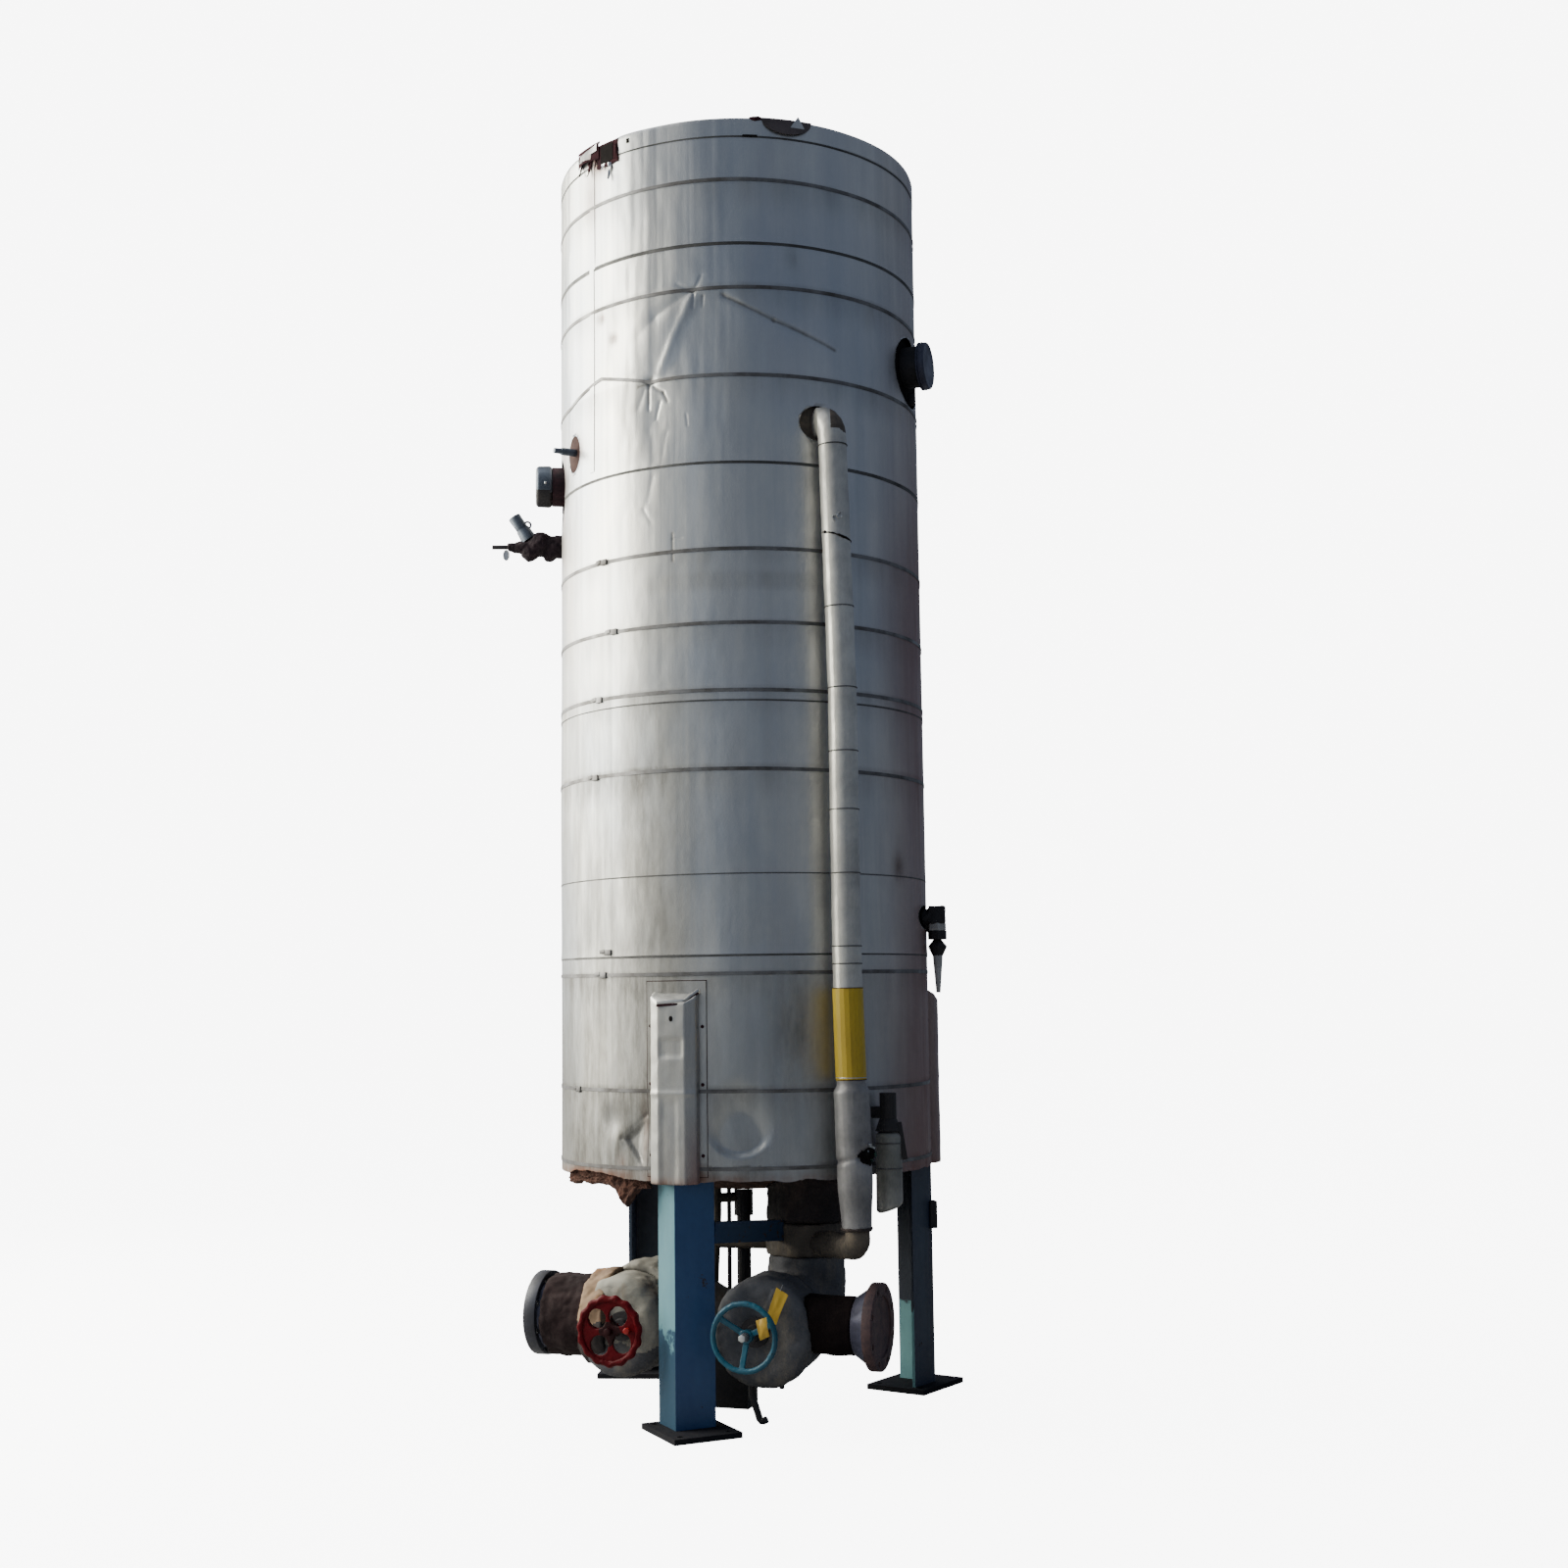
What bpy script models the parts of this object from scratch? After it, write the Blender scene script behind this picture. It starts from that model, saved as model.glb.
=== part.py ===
# Ammonia recirculator: an insulated upright vessel on three angle-iron legs,
# with its suction piping, two stop valves and small nozzles.
# Metres, +Z up. The front of the vessel looks along -Y.

from math import atan2, cos, hypot, pi, radians, sin, sqrt

import bmesh
import bpy
from mathutils import Matrix, Vector

# Vessel, insulation and sheet jacket
JACKET_RADIUS = 0.711
SHEET = 0.0017
INSULATION = 0.076
VESSEL_RADIUS = JACKET_RADIUS - INSULATION
VESSEL_WALL = 0.0127
JACKET_BOTTOM = 0.870
RIM_HEIGHT = 4.763
LAP_HEIGHTS = (JACKET_BOTTOM, 1.680, 2.594, 3.472, 4.300, 4.742)
CAP_SKIRT = 0.069
CAP_RISE = 0.012
BOTTOM_TANGENT = 1.190
TOP_TANGENT = 4.370
HEAD_LAP = 0.020
ROUND_STEPS = 48
HEAD_RINGS = 5

# Legs: 6 in angle iron with the heel outwards
LEG_COUNT = 3
FRONT_LEG_ANGLE = radians(-110.4)
LEG_HEEL_RADIUS = 0.734
LEG_FLANGE = 0.152
LEG_STEEL = 0.0127
LEG_TOP = 1.450

# Base plates: sides parallel to the leg's flanges, measured from its heel
PLATE_SIDES = (0.254, 0.305)
PLATE_THICKNESS = 0.020
PLATE_BEYOND_HEEL = (0.055, 0.122)
BOLT_HOLE_RADIUS = 0.011
BOLT_EDGE = 0.036

# Sheet covers over the tops of the legs
COVER_FACE = 0.762
COVER_SHOULDER = 0.738
COVER_HALF_WIDTH = 0.088
COVER_FACE_HALF = 0.052
COVER_BOTTOM = 0.862
COVER_TOP = 1.545
COVER_SLOPE = 0.050

# Suction piping, in a frame turned so that its -Y points at the front leg
VALVE_AT = {"right": 0.249, "left": -0.258}
VALVE_HEIGHT = 0.345
PORT_HEIGHT = 0.358
PORT_DEPTH = -0.460
BODY_AT = {"right": 0.254, "left": -0.290}
BODY_HEIGHT = 0.334
BODY_HALF_WIDTH = {"right": 0.178, "left": 0.176}
BODY_HALF_HEIGHT = {"right": 0.195, "left": 0.182}
BODY_FRONT = -0.595
BODY_LENGTH = 0.270
BODY_ROUNDING = 0.050
NECK_RADIUS = {"right": 0.103, "left": 0.148}
FLANGE_RADIUS = 0.152
FLANGE_THICKNESS = {"right": 0.034, "left": 0.045}
FLANGE_FACE = {"right": 0.672, "left": -0.652}
HUB_LENGTH = {"right": 0.055, "left": 0.014}
HUB_RADIUS = {"right": 0.118, "left": 0.130}
FACE_RECESS = 0.006
RECESS_RADIUS = 0.106
OUTLET_AT = (0.283, -0.130)
OUTLET_RADIUS = 0.144
COLLAR_RADIUS = 0.150
COLLAR_SPAN = (0.560, 0.680)

# The header between the valves: points and radii from the left valve to the right one
HEADER_RUN = ((-0.270, -0.420, 0.375, 0.168), (-0.265, -0.300, 0.385, 0.168), (-0.205, -0.205, 0.370, 0.155),
              (-0.110, -0.165, 0.330, 0.125), (-0.020, -0.160, 0.302, 0.108), (0.110, -0.160, 0.302, 0.108),
              (0.200, -0.185, 0.335, 0.130), (0.252, -0.270, 0.352, 0.155), (0.252, -0.420, 0.352, 0.155))

# Handwheels: the hub sits behind the rim
RIM_MAJOR = {"right": 0.1145, "left": 0.1150}
RIM_MINOR = {"right": 0.0105, "left": 0.0130}
SPOKE_COUNT = {"right": 3, "left": 4}
SPOKE_START = {"right": radians(25), "left": radians(-15)}
SPOKE_WIDTH = {"right": 0.020, "left": 0.032}
SPOKE_THICKNESS = 0.010
SPOKE_FROM = 0.014
RIM_DEPTH = -0.717
HUB_SETBACK = 0.030
WHEEL_HUB_RADIUS = 0.024
WHEEL_HUB_LENGTH = 0.030
NUT_RADIUS = 0.016
NUT_HEIGHT = 0.012
STEM_RADIUS = 0.011
BONNET_RADIUS = 0.052
BONNET_LENGTH = 0.040
GLAND_RADIUS = 0.026
STEM_SOCKET = 0.022
RUNNING_GAP = 0.0005

# Vent line down the front of the jacket: points from top to bottom, then back to the collar
VENT_RADIUS = 0.0525
VENT_ENTRY = (radians(-68.0), 3.615)
VENT_POINTS = ((0.336, -0.722, 3.615), (0.360, -0.722, 2.620), (0.362, -0.722, 1.560),
               (0.382, -0.722, 0.700))
VENT_WIDE_RADIUS = 0.064
VENT_WIDE_SPAN = (0.950, 1.180)
VENT_BEND = 0.075
VENT_RETURN_RADIUS = 0.045
VENT_FOOT = (0.3835, -0.722, 0.640)
VENT_RETURN_DROP = 0.038
VENT_OPENING = 0.022
MARKER_SPAN = (1.218, 1.541)
SLEEVE = 0.0015

# Nozzles: angle round the vessel, height, pipe radius, tip radius from the axis, room in the jacket
RIGHT_UPPER = {"angle": radians(-20.0), "height": 3.955, "radius": 0.080, "tip": 0.762, "room": 0.026}
CAP_THICKNESS = 0.030
CAP_RADIUS = 0.092
LEFT_STUB = {"angle": radians(-173.0), "height": 3.528, "radius": 0.077, "tip": 0.808, "room": 0.020}
LEFT_ROD = {"angle": radians(-153.0), "height": 3.600, "radius": 0.014, "tip": 0.772, "room": 0.030}
LEFT_VALVE = {"angle": radians(-178.0), "height": 3.300, "radius": 0.030, "tip": 0.765, "room": 0.020}
RIGHT_LOWER = {"angle": radians(-7.0), "height": 1.785, "radius": 0.032, "tip": 0.752, "room": 0.020}
SIDE_VALVE_LENGTH = 0.100
SIDE_STEM_REACH = 0.222
SIDE_BONNET_LEAN = 0.70
SIDE_BONNET = (0.030, 0.150)

# Float bottle beside the vent line
BOTTLE_ANGLE = radians(-49.0)
BOTTLE_AXIS_RADIUS = 0.774
BOTTLE_RADIUS = 0.049
BOTTLE_SPAN = (0.733, 1.030)
BOTTLE_NECK_RADIUS = 0.030
BOTTLE_NECK_TOP = 1.165

# Small lines under the vessel, in the piping frame
DRAIN_AT = (0.022, -0.100)
DRAIN_RADIUS = 0.0265
DRAIN_VALVE = (0.036, 0.690, 0.800)
BRANCH_HEIGHT = 0.758
SMALL_RADIUS = 0.018
SAMPLE_AT = (-0.037, -0.100)
SAMPLE_RADIUS = 0.0085
BALANCE_RUN = ((-0.062, -0.160, 1.000), (-0.064, -0.160, 0.700), (-0.084, -0.160, 0.330))
TIE_HEIGHT = 0.590
BEAM_START = (0.094, -0.617, 0.686)
BEAM_END = (0.250, -0.200, 0.652)
BEAM_SECTION = (0.040, 0.074)
OIL_BOX = ((-0.150, -0.255, 0.004), (0.090, -0.150, 0.196))
FOOT_RUN = ((0.190, -0.500, 0.300), (0.198, -0.503, 0.110), (0.232, -0.510, 0.018), (0.255, -0.513, 0.030))
FOOT_RADIUS = 0.013

GAP = 0.0003
BEYOND = 0.100

PARTS = bpy.data.collections.new("ammonia_recirculator")
CUTTERS = bpy.data.collections.new("cutters")


def clear_scene():
    for item in list(bpy.context.scene.objects):
        bpy.data.objects.remove(item, do_unlink=True)
    for collection in (PARTS, CUTTERS):
        bpy.context.scene.collection.children.link(collection)


def material(name, color, roughness, metallic):
    made = bpy.data.materials.new(name)
    made.use_nodes = True
    shader = made.node_tree.nodes["Principled BSDF"]
    shader.inputs["Base Color"].default_value = (*color, 1.0)
    shader.inputs["Roughness"].default_value = roughness
    shader.inputs["Metallic"].default_value = metallic
    return made


def empty(name, parent=None, location=(0, 0, 0), turn=0.0):
    made = bpy.data.objects.new(name, None)
    made.location = location
    made.rotation_euler = (0, 0, turn)
    made.parent = parent
    PARTS.objects.link(made)
    return made


def place(name, mesh, surface, parent, collection=None):
    made = bpy.data.objects.new(name, mesh)
    made.parent = parent
    if surface:
        mesh.materials.clear()
        mesh.materials.append(surface)
    (collection or PARTS).objects.link(made)
    return made


def settle(item, angle=35):
    # Turns the modified shape into a plain mesh with smooth round faces.
    bpy.context.view_layer.update()
    graph = bpy.context.evaluated_depsgraph_get()
    mesh = bpy.data.meshes.new_from_object(item.evaluated_get(graph))
    if item.type == "CURVE":
        shape = bmesh.new()
        shape.from_mesh(mesh)
        bmesh.ops.remove_doubles(shape, verts=shape.verts, dist=0.00005)
        shape.to_mesh(mesh)
        shape.free()
        solid = bpy.data.objects.new(item.name, mesh)
        solid.parent = item.parent
        solid.matrix_basis = item.matrix_basis.copy()
        for owner in item.users_collection:
            owner.objects.link(solid)
        name = item.name
        bpy.data.objects.remove(item, do_unlink=True)
        solid.name = name
        item = solid
    else:
        item.modifiers.clear()
        item.data = mesh
    mesh.shade_smooth()
    mesh.set_sharp_from_angle(angle=radians(angle))
    return item


def turned(name, outline, surface, parent, steps=ROUND_STEPS, closed=True, collection=None):
    # The outline holds (radius, height) points, down the outer side.
    mesh = bpy.data.meshes.new(name)
    points = [(radius, 0, height) for radius, height in outline]
    edges = [(i, i + 1) for i in range(len(points) - 1)]
    if closed:
        edges.append((len(points) - 1, 0))
    mesh.from_pydata(points, edges, [])
    made = place(name, mesh, surface, parent, collection)
    screw = made.modifiers.new("turn", "SCREW")
    screw.axis = "Z"
    screw.angle = 2 * pi
    screw.steps = steps
    screw.render_steps = steps
    screw.use_merge_vertices = True
    screw.merge_threshold = 0.0001
    screw.use_normal_calculate = False
    return settle(made)


def aim(item, start, direction):
    # Moves a piece that was made along +Z so that it starts at a point and runs along a direction.
    turn = Vector((0, 0, 1)).rotation_difference(Vector(direction).normalized())
    item.matrix_basis = Matrix.Translation(start) @ turn.to_matrix().to_4x4()
    return item


def rod(name, start, end, radius, surface, parent, sides=24, collection=None):
    start, end = Vector(start), Vector(end)
    mesh = bpy.data.meshes.new(name)
    shape = bmesh.new()
    length = (end - start).length
    bmesh.ops.create_cone(shape, cap_ends=True, segments=sides, radius1=radius, radius2=radius,
                          depth=length, matrix=Matrix.Translation((0, 0, length / 2)))
    shape.to_mesh(mesh)
    shape.free()
    mesh.shade_smooth()
    mesh.set_sharp_from_angle(angle=radians(35))
    made = place(name, mesh, surface, parent, collection)
    return aim(made, start, end - start)


def prism(name, outline, bottom, top, surface, parent, collection=None):
    # A flat outline in X and Y, counter-clockwise, raised from bottom to top.
    mesh = bpy.data.meshes.new(name)
    shape = bmesh.new()
    corners = [shape.verts.new((x, y, bottom)) for x, y in outline]
    base = shape.faces.new(corners)
    raised = bmesh.ops.extrude_face_region(shape, geom=[base])
    moved = [v for v in raised["geom"] if isinstance(v, bmesh.types.BMVert)]
    bmesh.ops.translate(shape, verts=moved, vec=(0, 0, top - bottom))
    bmesh.ops.recalc_face_normals(shape, faces=shape.faces)
    shape.to_mesh(mesh)
    shape.free()
    return place(name, mesh, surface, parent, collection)


def box(name, center, size, surface, parent, collection=None):
    mesh = bpy.data.meshes.new(name)
    shape = bmesh.new()
    bmesh.ops.create_cube(shape, size=1.0)
    bmesh.ops.scale(shape, vec=size, verts=shape.verts)
    shape.to_mesh(mesh)
    shape.free()
    made = place(name, mesh, surface, parent, collection)
    made.location = center
    return made


def rounded_path(points, bend, arc_points=5):
    # Replaces each inner corner of a path by an arc of the given bend radius.
    path = [Vector(points[0])]
    for before, corner, after in zip(points, points[1:], points[2:]):
        before, corner, after = Vector(before), Vector(corner), Vector(after)
        back, ahead = (before - corner).normalized(), (after - corner).normalized()
        half = back.angle(ahead) / 2
        if half > radians(85):
            path.append(corner)
            continue
        reach = bend / (sin(half) / cos(half))
        center = corner + (back + ahead).normalized() * (bend / sin(half))
        first, last = corner + back * reach - center, corner + ahead * reach - center
        for step in range(arc_points + 1):
            path.append(center + first.slerp(last, step / arc_points) * bend)
    path.append(Vector(points[-1]))
    return path


def smooth_path(points, steps=3):
    # Points of a Catmull-Rom curve through the given ones, which may hold any number of values.
    points = [tuple(point) for point in points]
    ends = [points[0]] + points + [points[-1]]
    path = []
    for before, first, second, after in zip(ends, ends[1:], ends[2:], ends[3:]):
        for step in range(steps):
            t = step / steps
            path.append(tuple(
                0.5 * (2 * p1 + (p2 - p0) * t + (2 * p0 - 5 * p1 + 4 * p2 - p3) * t ** 2
                       + (3 * p1 - p0 - 3 * p2 + p3) * t ** 3)
                for p0, p1, p2, p3 in zip(before, first, second, after)))
    return path + [points[-1]]


def longer(points, extra):
    # The same path with both of its ends moved outwards.
    first, second, *_, before, last = [Vector(point) for point in points]
    return [first + (first - second).normalized() * extra, *points[1:-1],
            last + (last - before).normalized() * extra]


def pipe(name, points, radius, surface, parent, sides=20, collection=None):
    # The radius is one value, or a list with one for each point.
    radii = radius if isinstance(radius, list) else [radius] * len(points)
    curve = bpy.data.curves.new(name, "CURVE")
    curve.dimensions = "3D"
    curve.bevel_depth = max(radii)
    curve.bevel_resolution = sides // 2 - 2
    curve.use_fill_caps = True
    line = curve.splines.new("POLY")
    line.points.add(len(points) - 1)
    for point, place_at, width in zip(line.points, points, radii):
        point.co = (*place_at, 1.0)
        point.radius = width / max(radii)
    made = place(name, curve, surface, parent, collection)
    return settle(made)


def cut(item, cutter):
    cutter.hide_render = True
    cutter.display_type = "WIRE"
    boolean = item.modifiers.new("cut_" + cutter.name, "BOOLEAN")
    boolean.operation = "DIFFERENCE"
    boolean.solver = "EXACT"
    boolean.object = cutter
    return item


def join(item, other):
    # Unites another solid with the piece and removes the other.
    boolean = item.modifiers.new("join", "BOOLEAN")
    boolean.operation = "UNION"
    boolean.solver = "EXACT"
    boolean.object = other
    item = settle(item)
    bpy.data.objects.remove(other, do_unlink=True)
    return item


def radial(angle, radius, height):
    return Vector((radius * cos(angle), radius * sin(angle), height))


def ring_outline(inner, outer, bottom, top):
    return [(outer, top), (outer, bottom), (inner, bottom), (inner, top)]


def dished(radius, depth, level, direction, rings=HEAD_RINGS):
    # Points of an elliptical head from its rim to its pole.
    angles = [pi / 2 * step / rings for step in range(rings + 1)]
    points = [(radius * cos(a), level + direction * depth * sin(a)) for a in angles]
    points[-1] = (0.0, points[-1][1])
    return points


def make_vessel(skid, steel, wool):
    depth = VESSEL_RADIUS / 2
    inner = VESSEL_RADIUS - VESSEL_WALL
    turned("vessel_shell", ring_outline(inner, VESSEL_RADIUS, BOTTOM_TANGENT + GAP, TOP_TANGENT - GAP), steel, skid)
    outer = dished(VESSEL_RADIUS, depth, BOTTOM_TANGENT, -1)
    hollow = dished(inner, depth - VESSEL_WALL, BOTTOM_TANGENT, -1)
    turned("bottom_head", hollow[::-1] + outer, steel, skid, closed=False)
    outer = dished(VESSEL_RADIUS, depth, TOP_TANGENT, 1)
    hollow = dished(inner, depth - VESSEL_WALL, TOP_TANGENT, 1)
    turned("top_head", outer[::-1] + hollow, steel, skid, closed=False)
    under = dished(VESSEL_RADIUS - GAP, depth + INSULATION, BOTTOM_TANGENT - HEAD_LAP, -1)
    over = dished(VESSEL_RADIUS - GAP, depth - HEAD_LAP + GAP, BOTTOM_TANGENT - HEAD_LAP, -1)[1:]
    turned("bottom_insulation", over[::-1] + under, wool, skid, closed=False)


def make_jacket(skid, sheet, wool):
    inner = VESSEL_RADIUS + GAP
    outer = JACKET_RADIUS - SHEET - GAP
    pieces = [turned("insulation", ring_outline(inner, outer, JACKET_BOTTOM, LAP_HEIGHTS[-1]), wool, skid)]
    for number, (low, high) in enumerate(zip(LAP_HEIGHTS, LAP_HEIGHTS[1:]), start=1):
        outline = ring_outline(JACKET_RADIUS - SHEET, JACKET_RADIUS, low + GAP, high - GAP)
        pieces.append(turned(f"jacket_course_{number}", outline, sheet, skid))
    edge = JACKET_RADIUS + GAP
    top = RIM_HEIGHT
    outline = [(0.0, top + CAP_RISE), (edge + SHEET, top), (edge + SHEET, top - CAP_SKIRT),
               (edge, top - CAP_SKIRT), (edge, LAP_HEIGHTS[-1] + GAP), (0.0, LAP_HEIGHTS[-1] + GAP)]
    turned("jacket_top", outline, sheet, skid, closed=False)
    return pieces


def angle_outline(clearance=0.0):
    # The leg's section, heel at +X: an L with its two toes at 45 degrees to the radius.
    out, thick, far = -clearance, LEG_STEEL + clearance, LEG_FLANGE + clearance
    corners = ((out, out), (far, out), (far, thick), (thick, thick), (thick, far), (out, far))
    return [from_heel(*corner) for corner in corners]


def cover_outline(inset):
    return [(inset, -COVER_HALF_WIDTH), (COVER_SHOULDER, -COVER_HALF_WIDTH), (COVER_FACE, -COVER_FACE_HALF),
            (COVER_FACE, COVER_FACE_HALF), (COVER_SHOULDER, COVER_HALF_WIDTH), (inset, COVER_HALF_WIDTH)]


def make_legs(skid, paint, plate_paint, sheet, jacket_pieces):
    vessel_cutter = turned("vessel_cutter", ring_outline(0.3, VESSEL_RADIUS + GAP, 0.9, LEG_TOP + 0.1),
                           None, skid, collection=CUTTERS)
    jacket_cutter = turned("jacket_cutter", ring_outline(0.4, JACKET_RADIUS + GAP, 0.8, 1.7),
                           None, skid, collection=CUTTERS)
    for number, name in zip(range(LEG_COUNT), ("front", "right", "rear")):
        turn = FRONT_LEG_ANGLE + number * 2 * pi / LEG_COUNT
        spoke = empty(f"leg_axis_{name}", skid, turn=turn)
        leg = prism(f"leg_{name}", angle_outline(), PLATE_THICKNESS + GAP, LEG_TOP, paint, spoke)
        cut(leg, vessel_cutter)
        slot = prism(f"slot_{name}", angle_outline(GAP * 2), 0.5, LEG_TOP + GAP * 2, None, spoke,
                     collection=CUTTERS)
        for piece in jacket_pieces:
            cut(piece, slot)
        cover = prism(f"leg_cover_{name}", cover_outline(JACKET_RADIUS - 0.02), COVER_BOTTOM, COVER_TOP,
                      sheet, spoke)
        slope_top(cover)
        cut(cover, jacket_cutter)
        cut(cover, slot)
        base_plate(name, spoke, plate_paint)


def slope_top(cover):
    # Lowers the front edge of a leg cover's top so that it sheds water.
    for vertex in cover.data.vertices:
        if vertex.co.z > COVER_TOP - 0.001 and vertex.co.x > JACKET_RADIUS:
            reach = (vertex.co.x - JACKET_RADIUS) / (COVER_FACE - JACKET_RADIUS)
            vertex.co.z -= COVER_SLOPE * reach


def from_heel(along_a, along_b):
    # A point given along the leg's two flanges, in the spoke's frame.
    root = sqrt(0.5)
    return (LEG_HEEL_RADIUS - (along_a + along_b) * root, (along_a - along_b) * root)


def base_plate(name, spoke, surface):
    low = [-beyond for beyond in PLATE_BEYOND_HEEL]
    high = [start + side for start, side in zip(low, PLATE_SIDES)]
    middle = from_heel((low[0] + high[0]) / 2, (low[1] + high[1]) / 2)
    plate = box(f"base_plate_{name}", (*middle, PLATE_THICKNESS / 2), (*PLATE_SIDES, PLATE_THICKNESS),
                surface, spoke)
    plate.rotation_euler = (0, 0, radians(135))
    for along_a in (low[0] + BOLT_EDGE, high[0] - BOLT_EDGE):
        for along_b in (low[1] + BOLT_EDGE, high[1] - BOLT_EDGE):
            at = from_heel(along_a, along_b)
            hole = rod(f"bolt_hole_{name}", (*at, -BEYOND), (*at, BEYOND), BOLT_HOLE_RADIUS, None, spoke,
                       sides=12, collection=CUTTERS)
            cut(plate, hole)


def make_valve(side, piping, looks):
    # An insulated angle stop valve: neck and flange to the side, bonnet and handwheel to the front.
    body = valve_drum(f"valve_body_{side}", side, 0.0, looks["wrap"], piping)
    room = valve_drum(f"body_room_{side}", side, GAP, None, piping, CUTTERS)
    sign = 1 if side == "right" else -1
    back = FLANGE_FACE[side] - sign * (FLANGE_THICKNESS[side] + HUB_LENGTH[side] + GAP)
    neck = rod(f"valve_neck_{side}", (BODY_AT[side] + sign * 0.06, PORT_DEPTH, PORT_HEIGHT),
               (back, PORT_DEPTH, PORT_HEIGHT), NECK_RADIUS[side], looks["neck_" + side], piping)
    cut(neck, room)
    flange(side, sign, looks["flange"], piping)
    bonnet_and_wheel(side, looks, piping)
    return neck, room


def valve_drum(name, side, extra, surface, piping, collection=None):
    # A cylinder along the valve's length, squashed to an oval section, then rounded at both ends.
    back = BODY_FRONT + BODY_LENGTH
    drum = rod(name, (BODY_AT[side], back + extra, BODY_HEIGHT), (BODY_AT[side], BODY_FRONT - extra, BODY_HEIGHT),
               1.0, surface, piping, sides=32, collection=collection)
    turn = drum.matrix_basis.to_3x3()
    scale = Matrix.Diagonal((BODY_HALF_WIDTH[side] + extra, 1.0, BODY_HALF_HEIGHT[side] + extra))
    drum.data.transform((turn.inverted() @ scale @ turn).to_4x4())
    drum.hide_render = collection is not None
    drum.display_type = "WIRE" if collection else "TEXTURED"
    return add_bevel(drum, BODY_ROUNDING)


def add_bevel(item, width):
    bevel = item.modifiers.new("round", "BEVEL")
    bevel.width = width
    bevel.segments = 3
    bevel.limit_method = "ANGLE"
    bevel.angle_limit = radians(40)
    bevel.use_clamp_overlap = True
    return settle(item)


def flange(side, sign, surface, piping):
    # Back, rim and recessed face, turned along the line from the face back to the valve.
    thick = FLANGE_THICKNESS[side]
    hub_end = thick + HUB_LENGTH[side]
    neck = min(NECK_RADIUS[side], HUB_RADIUS[side])
    outline = [(0.0, hub_end), (neck, hub_end), (HUB_RADIUS[side], thick), (FLANGE_RADIUS, thick),
               (FLANGE_RADIUS, 0.0), (RECESS_RADIUS, 0.0), (RECESS_RADIUS, FACE_RECESS), (0.0, FACE_RECESS)]
    made = turned(f"flange_{side}", outline, surface, piping, steps=32, closed=False)
    return aim(made, (FLANGE_FACE[side], PORT_DEPTH, PORT_HEIGHT), (-sign, 0, 0))


def bonnet_and_wheel(side, looks, piping):
    x = VALVE_AT[side]
    bore = STEM_RADIUS + RUNNING_GAP
    outline = [(0.0, BONNET_LENGTH - STEM_SOCKET), (bore, BONNET_LENGTH - STEM_SOCKET), (bore, BONNET_LENGTH),
               (GLAND_RADIUS, BONNET_LENGTH), (GLAND_RADIUS + 0.004, BONNET_LENGTH / 2),
               (BONNET_RADIUS, BONNET_LENGTH / 2), (BONNET_RADIUS, GAP), (0.0, GAP)]
    bonnet = turned(f"bonnet_{side}", outline, looks["casting"], piping, steps=24, closed=False)
    aim(bonnet, (x, BODY_FRONT, VALVE_HEIGHT), (0, -1, 0))
    axle = empty(f"wheel_axis_{side}", piping, location=(x, RIM_DEPTH, VALVE_HEIGHT))
    axle.rotation_euler = (pi / 2, 0, 0)
    stem_back = RIM_DEPTH - (BODY_FRONT - BONNET_LENGTH + STEM_SOCKET) + GAP * 4
    hub_front = WHEEL_HUB_LENGTH / 2 - HUB_SETBACK
    outline = [(0.0, hub_front + NUT_HEIGHT), (NUT_RADIUS, hub_front + NUT_HEIGHT), (NUT_RADIUS, hub_front + GAP),
               (STEM_RADIUS, hub_front + GAP), (STEM_RADIUS, stem_back), (0.0, stem_back)]
    turned(f"stem_{side}", outline, looks["steel"], axle, steps=16, closed=False)
    handwheel(side, looks["wheel_" + side], axle)


def handwheel(side, surface, axle):
    name = f"handwheel_{side}"
    bpy.ops.mesh.primitive_torus_add(major_radius=RIM_MAJOR[side], minor_radius=RIM_MINOR[side],
                                     major_segments=36, minor_segments=8)
    rim = bpy.context.active_object
    mesh = rim.data
    mesh.shade_smooth()
    bpy.data.objects.remove(rim, do_unlink=True)
    wheel = place(name, mesh, surface, axle)
    for number in range(SPOKE_COUNT[side]):
        turn = SPOKE_START[side] + number * 2 * pi / SPOKE_COUNT[side]
        reach = RIM_MAJOR[side] - SPOKE_FROM
        middle = Vector((SPOKE_FROM + reach / 2, 0, -HUB_SETBACK / 2))
        spoke = box(f"{name}_spoke", Matrix.Rotation(turn, 3, "Z") @ middle,
                    (hypot(reach, HUB_SETBACK), SPOKE_WIDTH[side], SPOKE_THICKNESS), surface, axle)
        spoke.rotation_euler = (0, -atan2(HUB_SETBACK, reach), turn)
        wheel = join(wheel, spoke)
    middle, half = -HUB_SETBACK, WHEEL_HUB_LENGTH / 2
    wheel = join(wheel, rod(f"{name}_hub", (0, 0, middle - half), (0, 0, middle + half), WHEEL_HUB_RADIUS,
                            surface, axle, sides=16))
    bore = rod(f"{name}_bore", (0, 0, -BEYOND), (0, 0, BEYOND), STEM_RADIUS + GAP, None, axle, sides=16,
               collection=CUTTERS)
    return cut(wheel, bore)


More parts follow.
